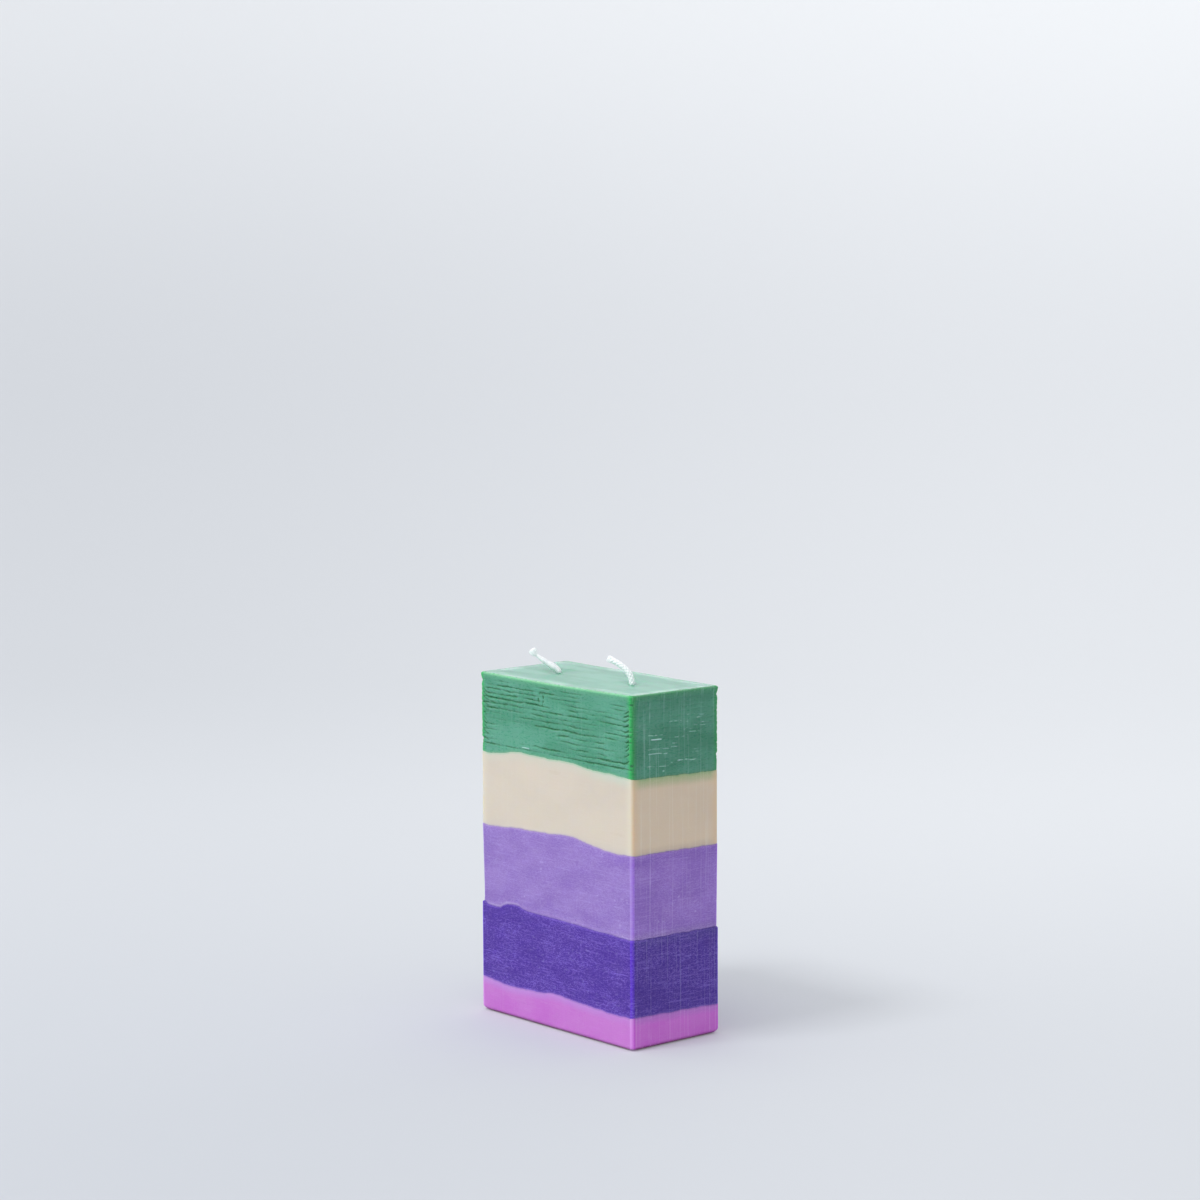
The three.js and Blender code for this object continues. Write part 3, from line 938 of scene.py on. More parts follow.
def candle_top(solid, rim):
    """Closes the last pour with its top, and gives the mouth of each bore with its angles."""
    upright = wax_size("upright_radius")
    last = rim
    inset = BRIM.inset
    for step in BRIM_STEPS:
        inset = inset + step
        x, y = outline(inset, upright)
        ring = solid.add(x, y, top_height(x, y), below=inset, stain=1.0, top=smooth(inset, 1.0, 2.0))
        solid.bands([last, ring])
        last = ring
    grid_x = spread(WIDE_FACES) * (HALF_WIDTH - inset - upright)
    grid_y = spread(NARROW_FACES) * (HALF_DEPTH - inset - upright)
    x, y = np.meshgrid(grid_x, grid_y)
    inside = np.zeros(x.shape, bool)
    filled = np.ones((len(grid_y) - 1, len(grid_x) - 1), bool)
    patches = {}
    for side in SIDES:
        wick_x, wick_y = wick_axis(side)
        gap = (-HALF_GAP, HALF_GAP)
        left, right = (int(np.argmin(np.abs(grid_x - wick_x - shift))) for shift in gap)
        front, back = (int(np.argmin(np.abs(grid_y - wick_y - shift))) for shift in gap)
        inside[front + 1 : back, left + 1 : right] = True
        filled[front:back, left:right] = False
        patches[side] = (left, right, front, back)
    numbers = np.full(x.shape, -1)
    kept_x = x[~inside]
    kept_y = y[~inside]
    from_brim = np.minimum(HALF_WIDTH - np.abs(kept_x), HALF_DEPTH - np.abs(kept_y))
    kept_z = top_height(kept_x, kept_y)
    numbers[~inside] = solid.add(kept_x, kept_y, kept_z, below=from_brim, stain=1.0, top=1.0)
    quads = np.stack((numbers[:-1, :-1], numbers[:-1, 1:], numbers[1:, 1:], numbers[1:, :-1]), axis=-1)
    solid.faces.extend(quads[filled].tolist())
    borders = (numbers[0], numbers[:, -1], numbers[-1, ::-1], numbers[::-1, 0])
    closed = np.append(last, last[0])
    for border, start, end in zip(borders, CORNERS, (*CORNERS[1:], len(last))):
        arc = closed[start : start + CORNER_FACES + 1]
        solid.faces.extend([int(a), int(b), int(border[0])] for a, b in zip(arc[:-1], arc[1:]))
        solid.strip(closed[start + CORNER_FACES : end + 1], border)
    return {side: wick_surround(solid, side, numbers, patches[side]) for side in SIDES}


def wick_surround(solid, side, numbers, patch):
    """Fills a gap in the top with rings that close in on a wick, and gives the last with its angles."""
    left, right, front, back = patch
    border = np.concatenate(
        (
            numbers[front, left:right],
            numbers[front:back, right],
            numbers[back, right:left:-1],
            numbers[back:front:-1, left],
        )
    )
    centre = wick_axis(side)
    border_x, border_y = np.concatenate(solid.points)[border][:, :2].T
    angles = np.arctan2(border_y - centre[1], border_x - centre[0])
    mouth_x, mouth_y = circle(centre, wick_radius(), angles)
    last = border
    for share in np.linspace(1.0, 0.0, GAP_RINGS + 1)[1:] ** GAP_CROWDING:
        x = mixed(mouth_x, border_x, share)
        y = mixed(mouth_y, border_y, share)
        pits = wick_pits(x - centre[0], y - centre[1])
        # The pits at the foot of a wick are darkened as painted shade
        ring = solid.add(x, y, top_height(x, y) - WICK_PIT * pits, crease=pits, top=1.0)
        solid.bands([last, ring])
        last = ring
    return last, angles


# Materials


def add_node(tree, kind, settings, inputs):
    """Adds a node with its settings, and sets or links its inputs."""
    added = tree.nodes.new(kind)
    for name, value in settings.items():
        setattr(added, name, value)
    for socket, value in inputs.items():
        if isinstance(value, bpy.types.NodeSocket):
            tree.links.new(value, added.inputs[socket])
        else:
            added.inputs[socket].default_value = value
    return added


def new_material(name):
    """A material with an empty node tree."""
    material = bpy.data.materials.new(name)
    material.use_nodes = True
    material.node_tree.nodes.clear()
    return material, material.node_tree


def per_mm(millimetres):
    """The scale of a pattern whose features are that many millimetres apart."""
    return 1.0 / (millimetres * MM)


# The setting and the inputs of a node that turns one range of values smoothly into another
SMOOTHSTEP = {"interpolation_type": "SMOOTHSTEP"}
RANGE = ("Value", "From Min", "From Max", "To Min", "To Max")
# The sockets of a node that mixes two colours
FACTOR, FIRST, SECOND, MIXED = 0, 6, 7, 2

# A layer of colour on a surface: its colour, the value that it follows, the range in which it follows it, its
# strength at each end of that range, and how it is mixed in. Without a range, the value is its strength
Layer = namedtuple("Layer", "colour value start end low high way", defaults=(None, None, 0.0, 1.0, "MIX"))


def layered(tree, base, layers):
    """Lays one layer of colour after another on a base, and gives the result."""
    for layer in layers:
        share = layer.value
        if layer.start is not None:
            inputs = dict(zip(RANGE, layer[1:6]))
            share = add_node(tree, "ShaderNodeMapRange", SMOOTHSTEP, inputs).outputs["Result"]
        settings = {"data_type": "RGBA", "blend_type": layer.way}
        inputs = {FACTOR: share, FIRST: base, SECOND: layer.colour}
        base = add_node(tree, "ShaderNodeMix", settings, inputs).outputs[MIXED]
    return base


# A tint near an edge or a pour line: its colour on the wide faces and on the narrow ones, how many
# millimetres it reaches and how strong it is. The narrow colour is the wide one in painted shade. At an
# upright edge a tint is painted glow and highlight; at a pour line it is partly wax of the neighbouring
# pour and partly painted light carried across the line, and at the pink foot it is painted shade
Tint = namedtuple("Tint", "wide narrow reach strength")

# What one pour looks like: its clouds and their size, its creases, darkened as painted shade, its scuffs,
# whose pale colour also paints highlights, its frost and how strong that is, the painted shade of its narrow
# faces, its tints towards its head and towards its foot, of which one reaches far and one keeps close to the
# line, its tint at the upright edges, painted glow and highlight, how far red, green and blue light travel in
# it in millimetres, its roughness, and the painted sheen on its top along the brim and in the middle
Wax = namedtuple(
    "Wax", "cloud cloud_size crease scuff frost frosted shade head foot edge glow roughness bloom"
)

PINK_WAX = Wax(
    cloud="#d488d9",
    cloud_size=14.0,
    crease="#b050bd",
    scuff="#ecc4f2",
    frost="#dca8e4",
    frosted=0.2,
    shade="#ffeaff",
    head=(Tint("#c693e0", "#b480ca", 4.2, 0.8), Tint("#8a62c0", "#7a55ac", 0.9, 0.5)),
    # Both foot tints are painted shade under the rounded foot, darkest close to the base
    foot=(Tint("#98359c", "#862a8c", 2.2, 0.8), Tint("#7a0e62", "#6c0a54", 1.5, 0.9)),
    edge=Tint("#e8b0f2", "#c858d4", 2.2, 0.7),
    glow=(2.0, 0.7, 2.0),
    roughness=0.42,
    bloom=None,
)
VIOLET_WAX = Wax(
    cloud="#5431a4",
    cloud_size=10.0,
    crease="#3f2394",
    scuff="#a394d6",
    frost="#9779e4",
    frosted=0.64,
    shade="#f0f3f1",
    head=(Tint("#522ea6", "#4e3a96", 6.0, 0.7), Tint("#7a5fbc", "#6a529e", 0.7, 0.4)),
    foot=(Tint("#5a34ac", "#503099", 2.5, 0.4), Tint("#8a62c2", "#7550ac", 0.9, 0.75)),
    edge=Tint("#6c30de", "#5a28c8", 1.5, 0.8),
    glow=(0.6, 0.35, 1.8),
    roughness=0.45,
    bloom=None,
)
LILAC_WAX = Wax(
    cloud="#a486d0",
    cloud_size=11.0,
    crease="#7f5fc0",
    scuff="#cfc0ea",
    frost="#c3b2e8",
    frosted=0.45,
    shade="#fbf0ff",
    head=(Tint("#936dcb", "#8662b9", 7.0, 0.5), Tint("#b9a2cc", "#a891bb", 0.9, 0.5)),
    foot=(Tint("#a08acb", "#8778ac", 4.0, 0.45), Tint("#8d77c2", "#7a68aa", 0.7, 0.35)),
    edge=Tint("#c0a2ec", "#a878de", 2.4, 0.7),
    glow=(1.2, 0.9, 2.0),
    roughness=0.45,
    bloom=None,
)
CREAM_WAX = Wax(
    cloud="#e2d7c6",
    cloud_size=16.0,
    crease="#cbbca4",
    scuff="#ece8de",
    frost="#e4ded2",
    frosted=0.2,
    shade="#fff7ee",
    # Its head tints paint green light from the last pour, carried down across the line through the wax
    head=(Tint("#d2dac8", "#a6bd90", 5.4, 0.9), Tint("#a4cbac", "#7fae80", 1.2, 0.7)),
    foot=(Tint("#d4c9be", "#bcaea4", 3.6, 0.5), Tint("#c3b2c8", "#ab9cb4", 1.0, 0.6)),
    edge=Tint("#e8e1cb", "#e1ccae", 6.0, 0.7),
    glow=(1.8, 1.4, 0.9),
    roughness=0.42,
    bloom=None,
)
GREEN_WAX = Wax(
    cloud="#68b398",
    cloud_size=9.0,
    crease="#15713f",
    scuff="#c6e8e4",
    frost="#86bfa8",
    frosted=0.08,
    shade="#e2e4e4",
    # Its head tints are a painted highlight and glow along the brim, on the wall and on the top
    head=(Tint("#68b88c", "#4fa674", 3.2, 0.7), Tint("#a2dcac", "#86cc96", 1.0, 0.5)),
    foot=(Tint("#58a078", "#4f8a68", 2.0, 0.4), Tint("#78b692", "#629c7a", 1.0, 0.6)),
    # Its edge tint is a bright painted glow along the upright edges
    edge=Tint("#34bb62", "#38aa60", 4.2, 0.92),
    glow=(0.25, 0.7, 0.4),
    roughness=0.3,
    bloom=("#b9e2d1", "#73b99e"),
)


# The patterns in the wax, by name: millimetres from one feature to the next, detail and stretch. The striae
# are level, the lines run up the mould, and the grain is drawn as coarse as it needs to be to show
WAX_PATTERNS = {
    "striae": (0.7, 4.0, (0.06, 0.06, 1.0)),
    "lines": (0.7, 3.0, (1.0, 1.0, 0.012)),
    "grain": (0.6, 3.0, (0.3, 0.3, 1.0)),
}
# The streaks of the painted sheen on the top
TOP_SHEEN_STREAKS = (9.0, 3.0, (0.3, 1.0, 1.0))
# Frost grows in winding lines where the grain is close to the first value, up to the second away from it
FROST_GRAIN = 0.53
FROST_REACH = 0.055


def poured_paraffin(name, body, wax):
    """Paraffin wax cast in a mould: light sinks in and comes out again, so edges glow in a deeper colour, and
    the colour paints more of that glow at the upright edges and, beside wax that seeped over, at the pour
    lines. Its creases and narrow faces are darkened as painted shade, and its ripples, lips, glints and top
    take painted highlights and sheen. Its skin is satin, and cooling left clouds, frost, level striae and the
    fine upright lines of the mould."""
    material, tree = new_material(f"poured_{name}_paraffin")
    place = add_node(tree, "ShaderNodeTexCoord", {}, {}).outputs["Object"]
    values = {}
    for key in MEASURES:
        values[key] = add_node(tree, "ShaderNodeAttribute", {"attribute_name": key}, {}).outputs["Fac"]
    patterns = {"clouds": (wax.cloud_size, 3.0, (0.5, 0.5, 1.0)), **WAX_PATTERNS}
    if wax.bloom:
        patterns["streaks"] = TOP_SHEEN_STREAKS
    for key, (millimetres, detail, stretch) in patterns.items():
        stretched = add_node(tree, "ShaderNodeMapping", {}, {"Vector": place, "Scale": stretch})
        inputs = {"Vector": stretched.outputs["Vector"], "Scale": per_mm(millimetres), "Detail": detail}
        values[key] = add_node(tree, "ShaderNodeTexNoise", {}, inputs).outputs["Fac"]
    inputs = {0: values["grain"], 1: FROST_GRAIN}
    apart = add_node(tree, "ShaderNodeMath", {"operation": "SUBTRACT"}, inputs)
    apart = add_node(tree, "ShaderNodeMath", {"operation": "ABSOLUTE"}, {0: apart.outputs["Value"]})
    values["winding"] = apart.outputs["Value"]
    # Each of these values follows another through a range, and a name stands for the value that bears it
    for key, *steps in (
        ("head_stain_and_glow", "stain", 0.0, 1.0, 0.0, wax.head[0].strength),
        ("foot_stain_and_glow", "stain", 0.0, 1.0, 0.0, wax.foot[0].strength),
        ("patchy_frost", "clouds", 0.3, 0.6, 0.5 * wax.frosted, wax.frosted),
        ("frost", "top", 0.0, 1.0, "patchy_frost", 0.0),
        ("faint", "narrow", 0.2, 1.0, 0.06, 0.3),
        ("satin", "grain", 0.3, 0.7, wax.roughness - 0.05, wax.roughness + 0.06),
        ("roughness", "top", 0.0, 1.0, "satin", 0.2),
        ("relief", "top", 0.0, 1.0, 0.28, 0.02),
        ("depth", "seam", 0.2, 3.0, 0.0, 1.0),
    ):
        inputs = {socket: values.get(step, step) for socket, step in zip(RANGE, steps)}
        values[key] = add_node(tree, "ShaderNodeMapRange", SMOOTHSTEP, inputs).outputs["Result"]

    def tinted(tint, key, start, strength):
        """A tint as a layer that fades out with a distance."""
        both = layered(tree, linear(tint.wide), [Layer(linear(tint.narrow), values["narrow"])])
        return Layer(both, values[key], start, tint.reach, strength, 0.0)

    layers = [Layer(linear(wax.cloud), values["clouds"], 0.35, 0.65, 0.0, 0.6)]
    # Tints at the head and the foot: partly wax of the neighbouring pour, partly painted light and shade
    for key, stain, (far, close) in (("below", "head_stain_and_glow", wax.head), ("above", "foot_stain_and_glow", wax.foot)):
        layers.append(tinted(far, key, 0.1 * far.reach, values[stain]))
        layers.append(tinted(close, key, 0.1, close.strength))
    # Painted glow and highlight at the upright edges
    layers.append(tinted(wax.edge, "edge", 0.6, wax.edge.strength))
    # Painted sheen on the top: the pale surroundings that its gloss reflects, in streaks, paler along the
    # brim
    if wax.bloom:
        brim, middle = (linear(code) for code in wax.bloom)
        bloom = layered(tree, middle, [Layer(brim, values["below"], 1.0, 8.0, 1.0, 0.0)])
        inputs = dict(zip(RANGE, (values["streaks"], 0.4, 0.58, 0.45, 1.0)))
        streaky = add_node(tree, "ShaderNodeMapRange", SMOOTHSTEP, inputs).outputs["Result"]
        layers.append(Layer(bloom, values["top"], 0.0, 1.0, 0.0, streaky))
    scuff = linear(wax.scuff)
    layers.extend(
        (
            # Painted shade in the creases, the grooves and the pits
            Layer(linear(wax.crease), values["crease"], 0.1, 0.8, 0.0, 0.9),
            Layer(linear(wax.frost), values["striae"], 0.5, 0.8, 0.0, values["frost"]),
            Layer(linear(wax.frost), values["winding"], 0.0, FROST_REACH, values["frost"], 0.0),
            # Painted shade on the narrow faces, which the key light barely reaches
            Layer(linear(wax.shade), values["narrow"], way="MULTIPLY"),
            Layer(scuff, values["lines"], 0.55, 0.72, 0.0, values["faint"]),
            Layer(scuff, values["mould_line"], 0.1, 1.0, 0.0, 0.34),
            # Pale scuffs, flecks and marks, and painted highlights on ripples, lips and glints
            Layer(scuff, values["scuff"], 0.1, 0.9, 0.0, 0.9),
        )
    )
    inputs = {0: values["striae"], 1: values["grain"]}
    height = add_node(tree, "ShaderNodeMath", {"operation": "ADD"}, inputs).outputs["Value"]
    bump = {"Height": height, "Strength": values["relief"], "Distance": 0.06 * MM}
    inputs = {
        "Base Color": layered(tree, tuple(body), layers),
        "Roughness": values["roughness"],
        "IOR": 1.44,
        "Subsurface Weight": values["depth"],
        "Subsurface Radius": wax.glow,
        "Subsurface Scale": MM,
        "Normal": add_node(tree, "ShaderNodeBump", {}, bump).outputs["Normal"],
    }
    shader = add_node(tree, "ShaderNodeBsdfPrincipled", {}, inputs)
    add_node(tree, "ShaderNodeOutputMaterial", {}, {"Surface": shader.outputs["BSDF"]})
    return material


def white_fibre(name, dark, light, grain, relief, roughness, depth, painted_glow):
    """A white material with a fine uneven grain, translucent to a depth in millimetres. It glows a little, as
    painted light that brightens its shaded side."""
    material, tree = new_material(name)
    place = add_node(tree, "ShaderNodeTexCoord", {}, {}).outputs["Object"]
    inputs = {"Vector": place, "Scale": per_mm(grain), "Detail": 3.0}
    pattern = add_node(tree, "ShaderNodeTexNoise", {}, inputs).outputs["Fac"]
    bump = {"Height": pattern, "Strength": 0.35, "Distance": relief * MM}
    inputs = {
        "Base Color": layered(tree, linear(dark), [Layer(linear(light), pattern, 0.35, 0.65)]),
        "Roughness": roughness,
        "IOR": 1.45,
        "Subsurface Weight": 0.6 if depth else 0.0,
        "Subsurface Radius": (1.0, 1.0, 1.0),
        "Subsurface Scale": depth * MM,
        # A faint painted glow that brightens the fibres on their shaded side
        "Emission Color": linear("#f6fbff"),
        "Emission Strength": painted_glow,
        "Normal": add_node(tree, "ShaderNodeBump", {}, bump).outputs["Normal"],
    }
    shader = add_node(tree, "ShaderNodeBsdfPrincipled", {}, inputs)
    add_node(tree, "ShaderNodeOutputMaterial", {}, {"Surface": shader.outputs["BSDF"]})
    return material


def braided_cotton():
    """Bleached cotton yarn, braided and dipped in clear wax: bright white and finely fibrous."""
    return white_fibre(
        "braided_cotton_waxed",
        dark="#f2f5f6",
        light="#ffffff",
        grain=0.25,
        relief=0.04,
        roughness=0.6,
        depth=0.0,
        painted_glow=0.09,
    )


def dipped_paraffin():
    """The clear wax that fills and coats the braid: it sets milky white and satin."""
    return white_fibre(
        "dipped_paraffin_milky",
        dark="#ebeff1",
        light="#ffffff",
        grain=1.2,
        relief=0.12,
        roughness=0.35,
        depth=0.4,
        painted_glow=0.03,
    )


def tinned_steel():
    """Steel sheet, tinned and then stamped: bright, a little cloudy, with fine rolling lines."""
    material, tree = new_material("tinned_steel_stamped")
    place = add_node(tree, "ShaderNodeTexCoord", {}, {}).outputs["Object"]
    rolled = add_node(tree, "ShaderNodeMapping", {}, {"Vector": place, "Scale": (1.0, 0.04, 1.0)})
    inputs = {"Vector": rolled.outputs["Vector"], "Scale": per_mm(0.25), "Detail": 3.0}
    lines = add_node(tree, "ShaderNodeTexNoise", {}, inputs).outputs["Fac"]
    inputs = {"Vector": place, "Scale": per_mm(3.0), "Detail": 2.0}
    cloud = add_node(tree, "ShaderNodeTexNoise", {}, inputs).outputs["Fac"]
    inputs = dict(zip(RANGE, (cloud, 0.3, 0.7, 0.24, 0.4)))
    roughness = add_node(tree, "ShaderNodeMapRange", SMOOTHSTEP, inputs).outputs["Result"]
    bump = {"Height": lines, "Strength": 0.2, "Distance": 0.02 * MM}
    inputs = {
        "Base Color": layered(tree, linear("#a9acb0"), [Layer(linear("#cfd1d3"), cloud)]),
        "Metallic": 1.0,
        "Roughness": roughness,
        "Normal": add_node(tree, "ShaderNodeBump", {}, bump).outputs["Normal"],
    }
    shader = add_node(tree, "ShaderNodeBsdfPrincipled", {}, inputs)
    add_node(tree, "ShaderNodeOutputMaterial", {}, {"Surface": shader.outputs["BSDF"]})
    return material


# The wicks

# The level direction square to the way that both wicks lean
ACROSS = np.array((math.sin(STUB_LEAN), -math.cos(STUB_LEAN), 0.0))


def wick_line(side, step_inside, step_outside):
    """The line of a wick: its points, its length up to each, and its length in the wax. It runs straight up
    from its sustainer, and then along its bent stub."""
    x, y = wick_axis(side)
    stub = STUBS[side]
    mouth = np.array((x, y, float(top_height(x, y))))

    def away(reach, rise):
        """A step along the lean of the wicks, and up."""
        return np.array((-reach * math.cos(STUB_LEAN), -reach * math.sin(STUB_LEAN), rise))

    tip = mouth + away(stub.reach, stub.rise)
    knots = (mouth, mouth + away(0.0, stub.upright), tip - away(stub.tip_reach, stub.tip_rise), tip)
    share = np.linspace(0.0, 1.0, 300)[:, None]
    weights = ((1 - share) ** 3, 3 * (1 - share) ** 2 * share, 3 * (1 - share) * share**2, share**3)
    bent = sum(weight * knot for weight, knot in zip(weights, knots))
    route = np.vstack((np.array((x, y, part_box(f"wick_{side}")[0].z / MM)), bent))
    lengths = np.concatenate(([0.0], np.cumsum(np.linalg.norm(np.diff(route, axis=0), axis=1))))
    places = np.concatenate(
        (np.arange(0.0, lengths[1], step_inside), np.arange(lengths[1], lengths[-1], step_outside))
    )
    points = np.stack([np.interp(places, lengths, route[:, axis]) for axis in range(3)], axis=1)
    return points, places, lengths[1]


def unit(vectors):
    """The same directions with a length of 1."""
    return vectors / np.linalg.norm(vectors, axis=-1, keepdims=True)


def around(points, places, angles, radii):
    """Points round a wick's line, each at its own angle and radius, and their outward directions."""
    along = unit(np.gradient(points, places, axis=0))
    inner = np.cross(ACROSS, along)
    outward = np.cos(angles)[:, None] * inner + np.sin(angles)[:, None] * ACROSS
    return points + np.asarray(radii)[:, None] * outward, outward


def tube(solid, rings, start, end):
    """A closed tube through rings of points, with its ends drawn to a point each."""
    numbers = solid.add(*np.moveaxis(rings, -1, 0))
    solid.bands(numbers)
    solid.fan(numbers[-1], solid.add(*end))
    solid.fan(numbers[0][::-1], solid.add(*start))


def sweep(solid, points, outward, widths, heights, sides=8):
    """A closed tube along points, with an oval section whose height points outward."""
    along = unit(np.gradient(points, axis=0))
    sideways = unit(np.cross(outward, along))
    outward = np.cross(along, sideways)
    angles = np.arange(sides) * 2.0 * np.pi / sides
    width = np.cos(angles)[None, :, None] * np.asarray(widths)[:, None, None] * sideways[:, None]
    height = np.sin(angles)[None, :, None] * np.asarray(heights)[:, None, None] * outward[:, None]
    tube(solid, points[:, None] + width + height, points[0], points[-1])


def braid(solid, points, places, girth):
    """Yarns that wind both ways round a core and pass over and under each other."""
    yarns = bpy.context.scene.candle_wicks.yarns
    radius = wick_radius()
    turned = 2.0 * np.pi * places / size("candle_wicks", "lay")
    for way in (1.0, -1.0):
        for yarn in range(yarns):
            angles = way * turned + 2.0 * np.pi * (yarn + (0.5 if way < 0 else 0.0)) / yarns
            radii = girth * radius * (YARN_PLACE + YARN_WEAVE * way * np.sin(yarns * turned))
            path, outward = around(points, places, angles, radii)
            width = YARN_HALF_WIDTH * radius * girth
            height = YARN_HALF_HEIGHT * radius * girth
            sweep(solid, path, outward, width, height)
    core = CORE * radius * girth
    sweep(solid, points, np.broadcast_to(ACROSS, points.shape), core, core, 12)


def fray(solid, points, places, count, reach, start, end, seed):
    """A tuft at the end of a wick, of loose fibres round a matted middle: how many, how far they reach, and
    the radius that they start at and swell to."""

    def bulge(share):
        """Radius of the tuft, which is widest two thirds of the way along."""
        return mixed(start, end, np.sin(0.75 * np.pi * share))

    chance = np.random.default_rng(seed)
    root = int(np.searchsorted(places, places[-1] - reach))
    radius = size("candle_wicks", "fibre") / 2.0
    matted = points[root:-2]
    middle = 0.75 * bulge(np.linspace(0.0, 1.0, len(matted)))
    sweep(solid, matted, np.broadcast_to(ACROSS, matted.shape), middle, middle, 16)
    for _ in range(count):
        angle = chance.uniform(0.0, 2.0 * np.pi)
        depth = math.sqrt(chance.uniform(0.0, 1.0))
        first = max(0, root + int(chance.integers(-4, 5)))
        line = points[first:]
        share = np.linspace(0.0, 1.0, len(line))
        swirl = angle + chance.uniform(-0.5, 0.5) * share
        spread_out = depth * bulge(share) * mixed(1.0, chance.uniform(0.7, 1.05), share)
        path, outward = around(line, places[first:], swirl, spread_out)
        kept = max(4, int(len(line) * chance.uniform(0.84, 1.0)))
        taper = radius * mixed(1.0, 0.45, share[:kept])
        sweep(solid, path[:kept], outward[:kept], taper, taper, 4)


def wax_coat(points, outside):
    """The wax that coats the left wick, thickest a little above its foot."""
    coated = (outside >= COAT[0][0]) & (outside <= COAT[-1][0])
    line = points[coated]
    along = outside[coated]
    radii = np.interp(along, *np.array(COAT).T)
    radii = np.convolve(np.pad(radii, 5, "edge"), np.ones(11) / 11.0, "valid")
    rings = []
    for angle in bore_angles(24):
        drips = 1.0 + 0.07 * waver(2.0 * math.cos(angle), 2.0 * math.sin(angle), along / 1.8, 33)
        rings.append(around(line, along, np.full(len(line), angle), radii * drips)[0])
    solid = Solid()
    tube(solid, np.stack(rings, axis=1), line[0], line[-1])
    placed(solid.finish("left_wick_wax", dipped_paraffin()), "cotton_wick")


# Steps


class CandlePinkPour(bpy.types.Operator):
    """Builds the pink pour, with the rounded foot of the mould and a seat for each sustainer."""

    bl_idname = "candle.pink_pour"
    bl_label = "Pink pour"

    def execute(self, context):
        material = poured_paraffin("pink", context.scene.candle_colours.pink, PINK_WAX)
        high = line_end(PINK_VIOLET, 0.0)
        relief = smooth_relief(40)
        cast_pour("pink", "pink_wax", material, base_end(), high, relief, seated_bore, (0.9, 0.5))
        return {"FINISHED"}


class CandleVioletPour(bpy.types.Operator):
    """Builds the violet pour, which filled the mould to its walls and set with a round shoulder."""

    bl_idname = "candle.violet_pour"
    bl_label = "Violet pour"

    def execute(self, context):
        material = poured_paraffin("violet", context.scene.candle_colours.violet, VIOLET_WAX)
        low = line_end(PINK_VIOLET, VIOLET_SHRINK)
        high = line_end(VIOLET_LILAC, VIOLET_SHRINK, "shoulder_radius")
        cast_pour("violet", "violet_wax", material, low, high, violet_relief, plain_bore)
        return {"FINISHED"}


class CandleLilacPour(bpy.types.Operator):
    """Builds the lilac pour, which drew in from the mould towards its foot."""

    bl_idname = "candle.lilac_pour"
    bl_label = "Lilac pour"

    def execute(self, context):
        material = poured_paraffin("lilac", context.scene.candle_colours.lilac, LILAC_WAX)
        low = line_end(VIOLET_LILAC, LILAC_SHRINK_AT_FOOT, lean=LILAC_LEAN)
        high = line_end(LILAC_CREAM, LILAC_SHRINK_AT_HEAD)
        cast_pour("lilac", "lilac_wax", material, low, high, lilac_relief, plain_bore)
        return {"FINISHED"}


class CandleCreamPour(bpy.types.Operator):
    """Builds the cream pour, the smoothest of the five."""

    bl_idname = "candle.cream_pour"
    bl_label = "Cream pour"

    def execute(self, context):
        material = poured_paraffin("cream", context.scene.candle_colours.cream, CREAM_WAX)
        low = line_end(LILAC_CREAM, CREAM_SHRINK)
        high = line_end(CREAM_GREEN, CREAM_SHRINK)
        cast_pour("cream", "cream_wax", material, low, high, smooth_relief(70, CREAM_STRIAE), plain_bore)
        return {"FINISHED"}


class CandleGreenPour(bpy.types.Operator):
    """Builds the green pour, with cold-pour folds on its walls and the sunk top round the wicks."""

    bl_idname = "candle.green_pour"
    bl_label = "Green pour"

    def execute(self, context):
        material = poured_paraffin("green", context.scene.candle_colours.green, GREEN_WAX)
        low = line_end(CREAM_GREEN, GREEN_SHRINK)
        solid = Solid()
        rows = pour_wall(solid, low, brim_end(), wax_size("fold_row_height"), green_relief, flare=14.0)
        solid.bands(rows)
        feet = []
        for side, (mouth, angles) in candle_top(solid, rows[-1]).items():
            x, y = circle(wick_axis(side), wick_radius(), angles)
            feet.append(solid.add(x, y, low.surface(x, y)))
            solid.bands([mouth, feet[-1]])
        solid.cap(rows[0], feet, False)
        placed(solid.finish("green_pour", material), "green_wax", "green_layer")
        return {"FINISHED"}


class CandleWicks(bpy.types.Operator):
    """Braids the two wicks, coats the left one in wax and frays their tips."""

    bl_idname = "candle.wicks"
    bl_label = "Wicks"

    def execute(self, context):
        cotton = braided_cotton()
        for side in SIDES:
            points, places, inside = wick_line(side, step_inside=0.6, step_outside=0.2)
            outside = places - inside
            solid = Solid()
            if side == "left":
                girth = mixed(1.0, 0.62, smooth(outside, -0.5, 3.0))
                girth = girth + 0.9 * smooth(outside, outside[-1] - 3.2, outside[-1])
                fray(solid, points, places, count=260, reach=3.2, start=0.6, end=1.85, seed=5)
                wax_coat(points, outside)
                ends = 5
            else:
                girth = mixed(1.0, 1.36, smooth(outside, -0.4, 0.5))
                fray(solid, points, places, count=110, reach=2.0, start=1.1, end=1.6, seed=6)
                ends = 3
            braid(solid, points[:-ends], places[:-ends], girth[:-ends])
            placed(solid.finish(f"{side}_braid", cotton), "cotton_wick", f"wick_{side}")
        return {"FINISHED"}


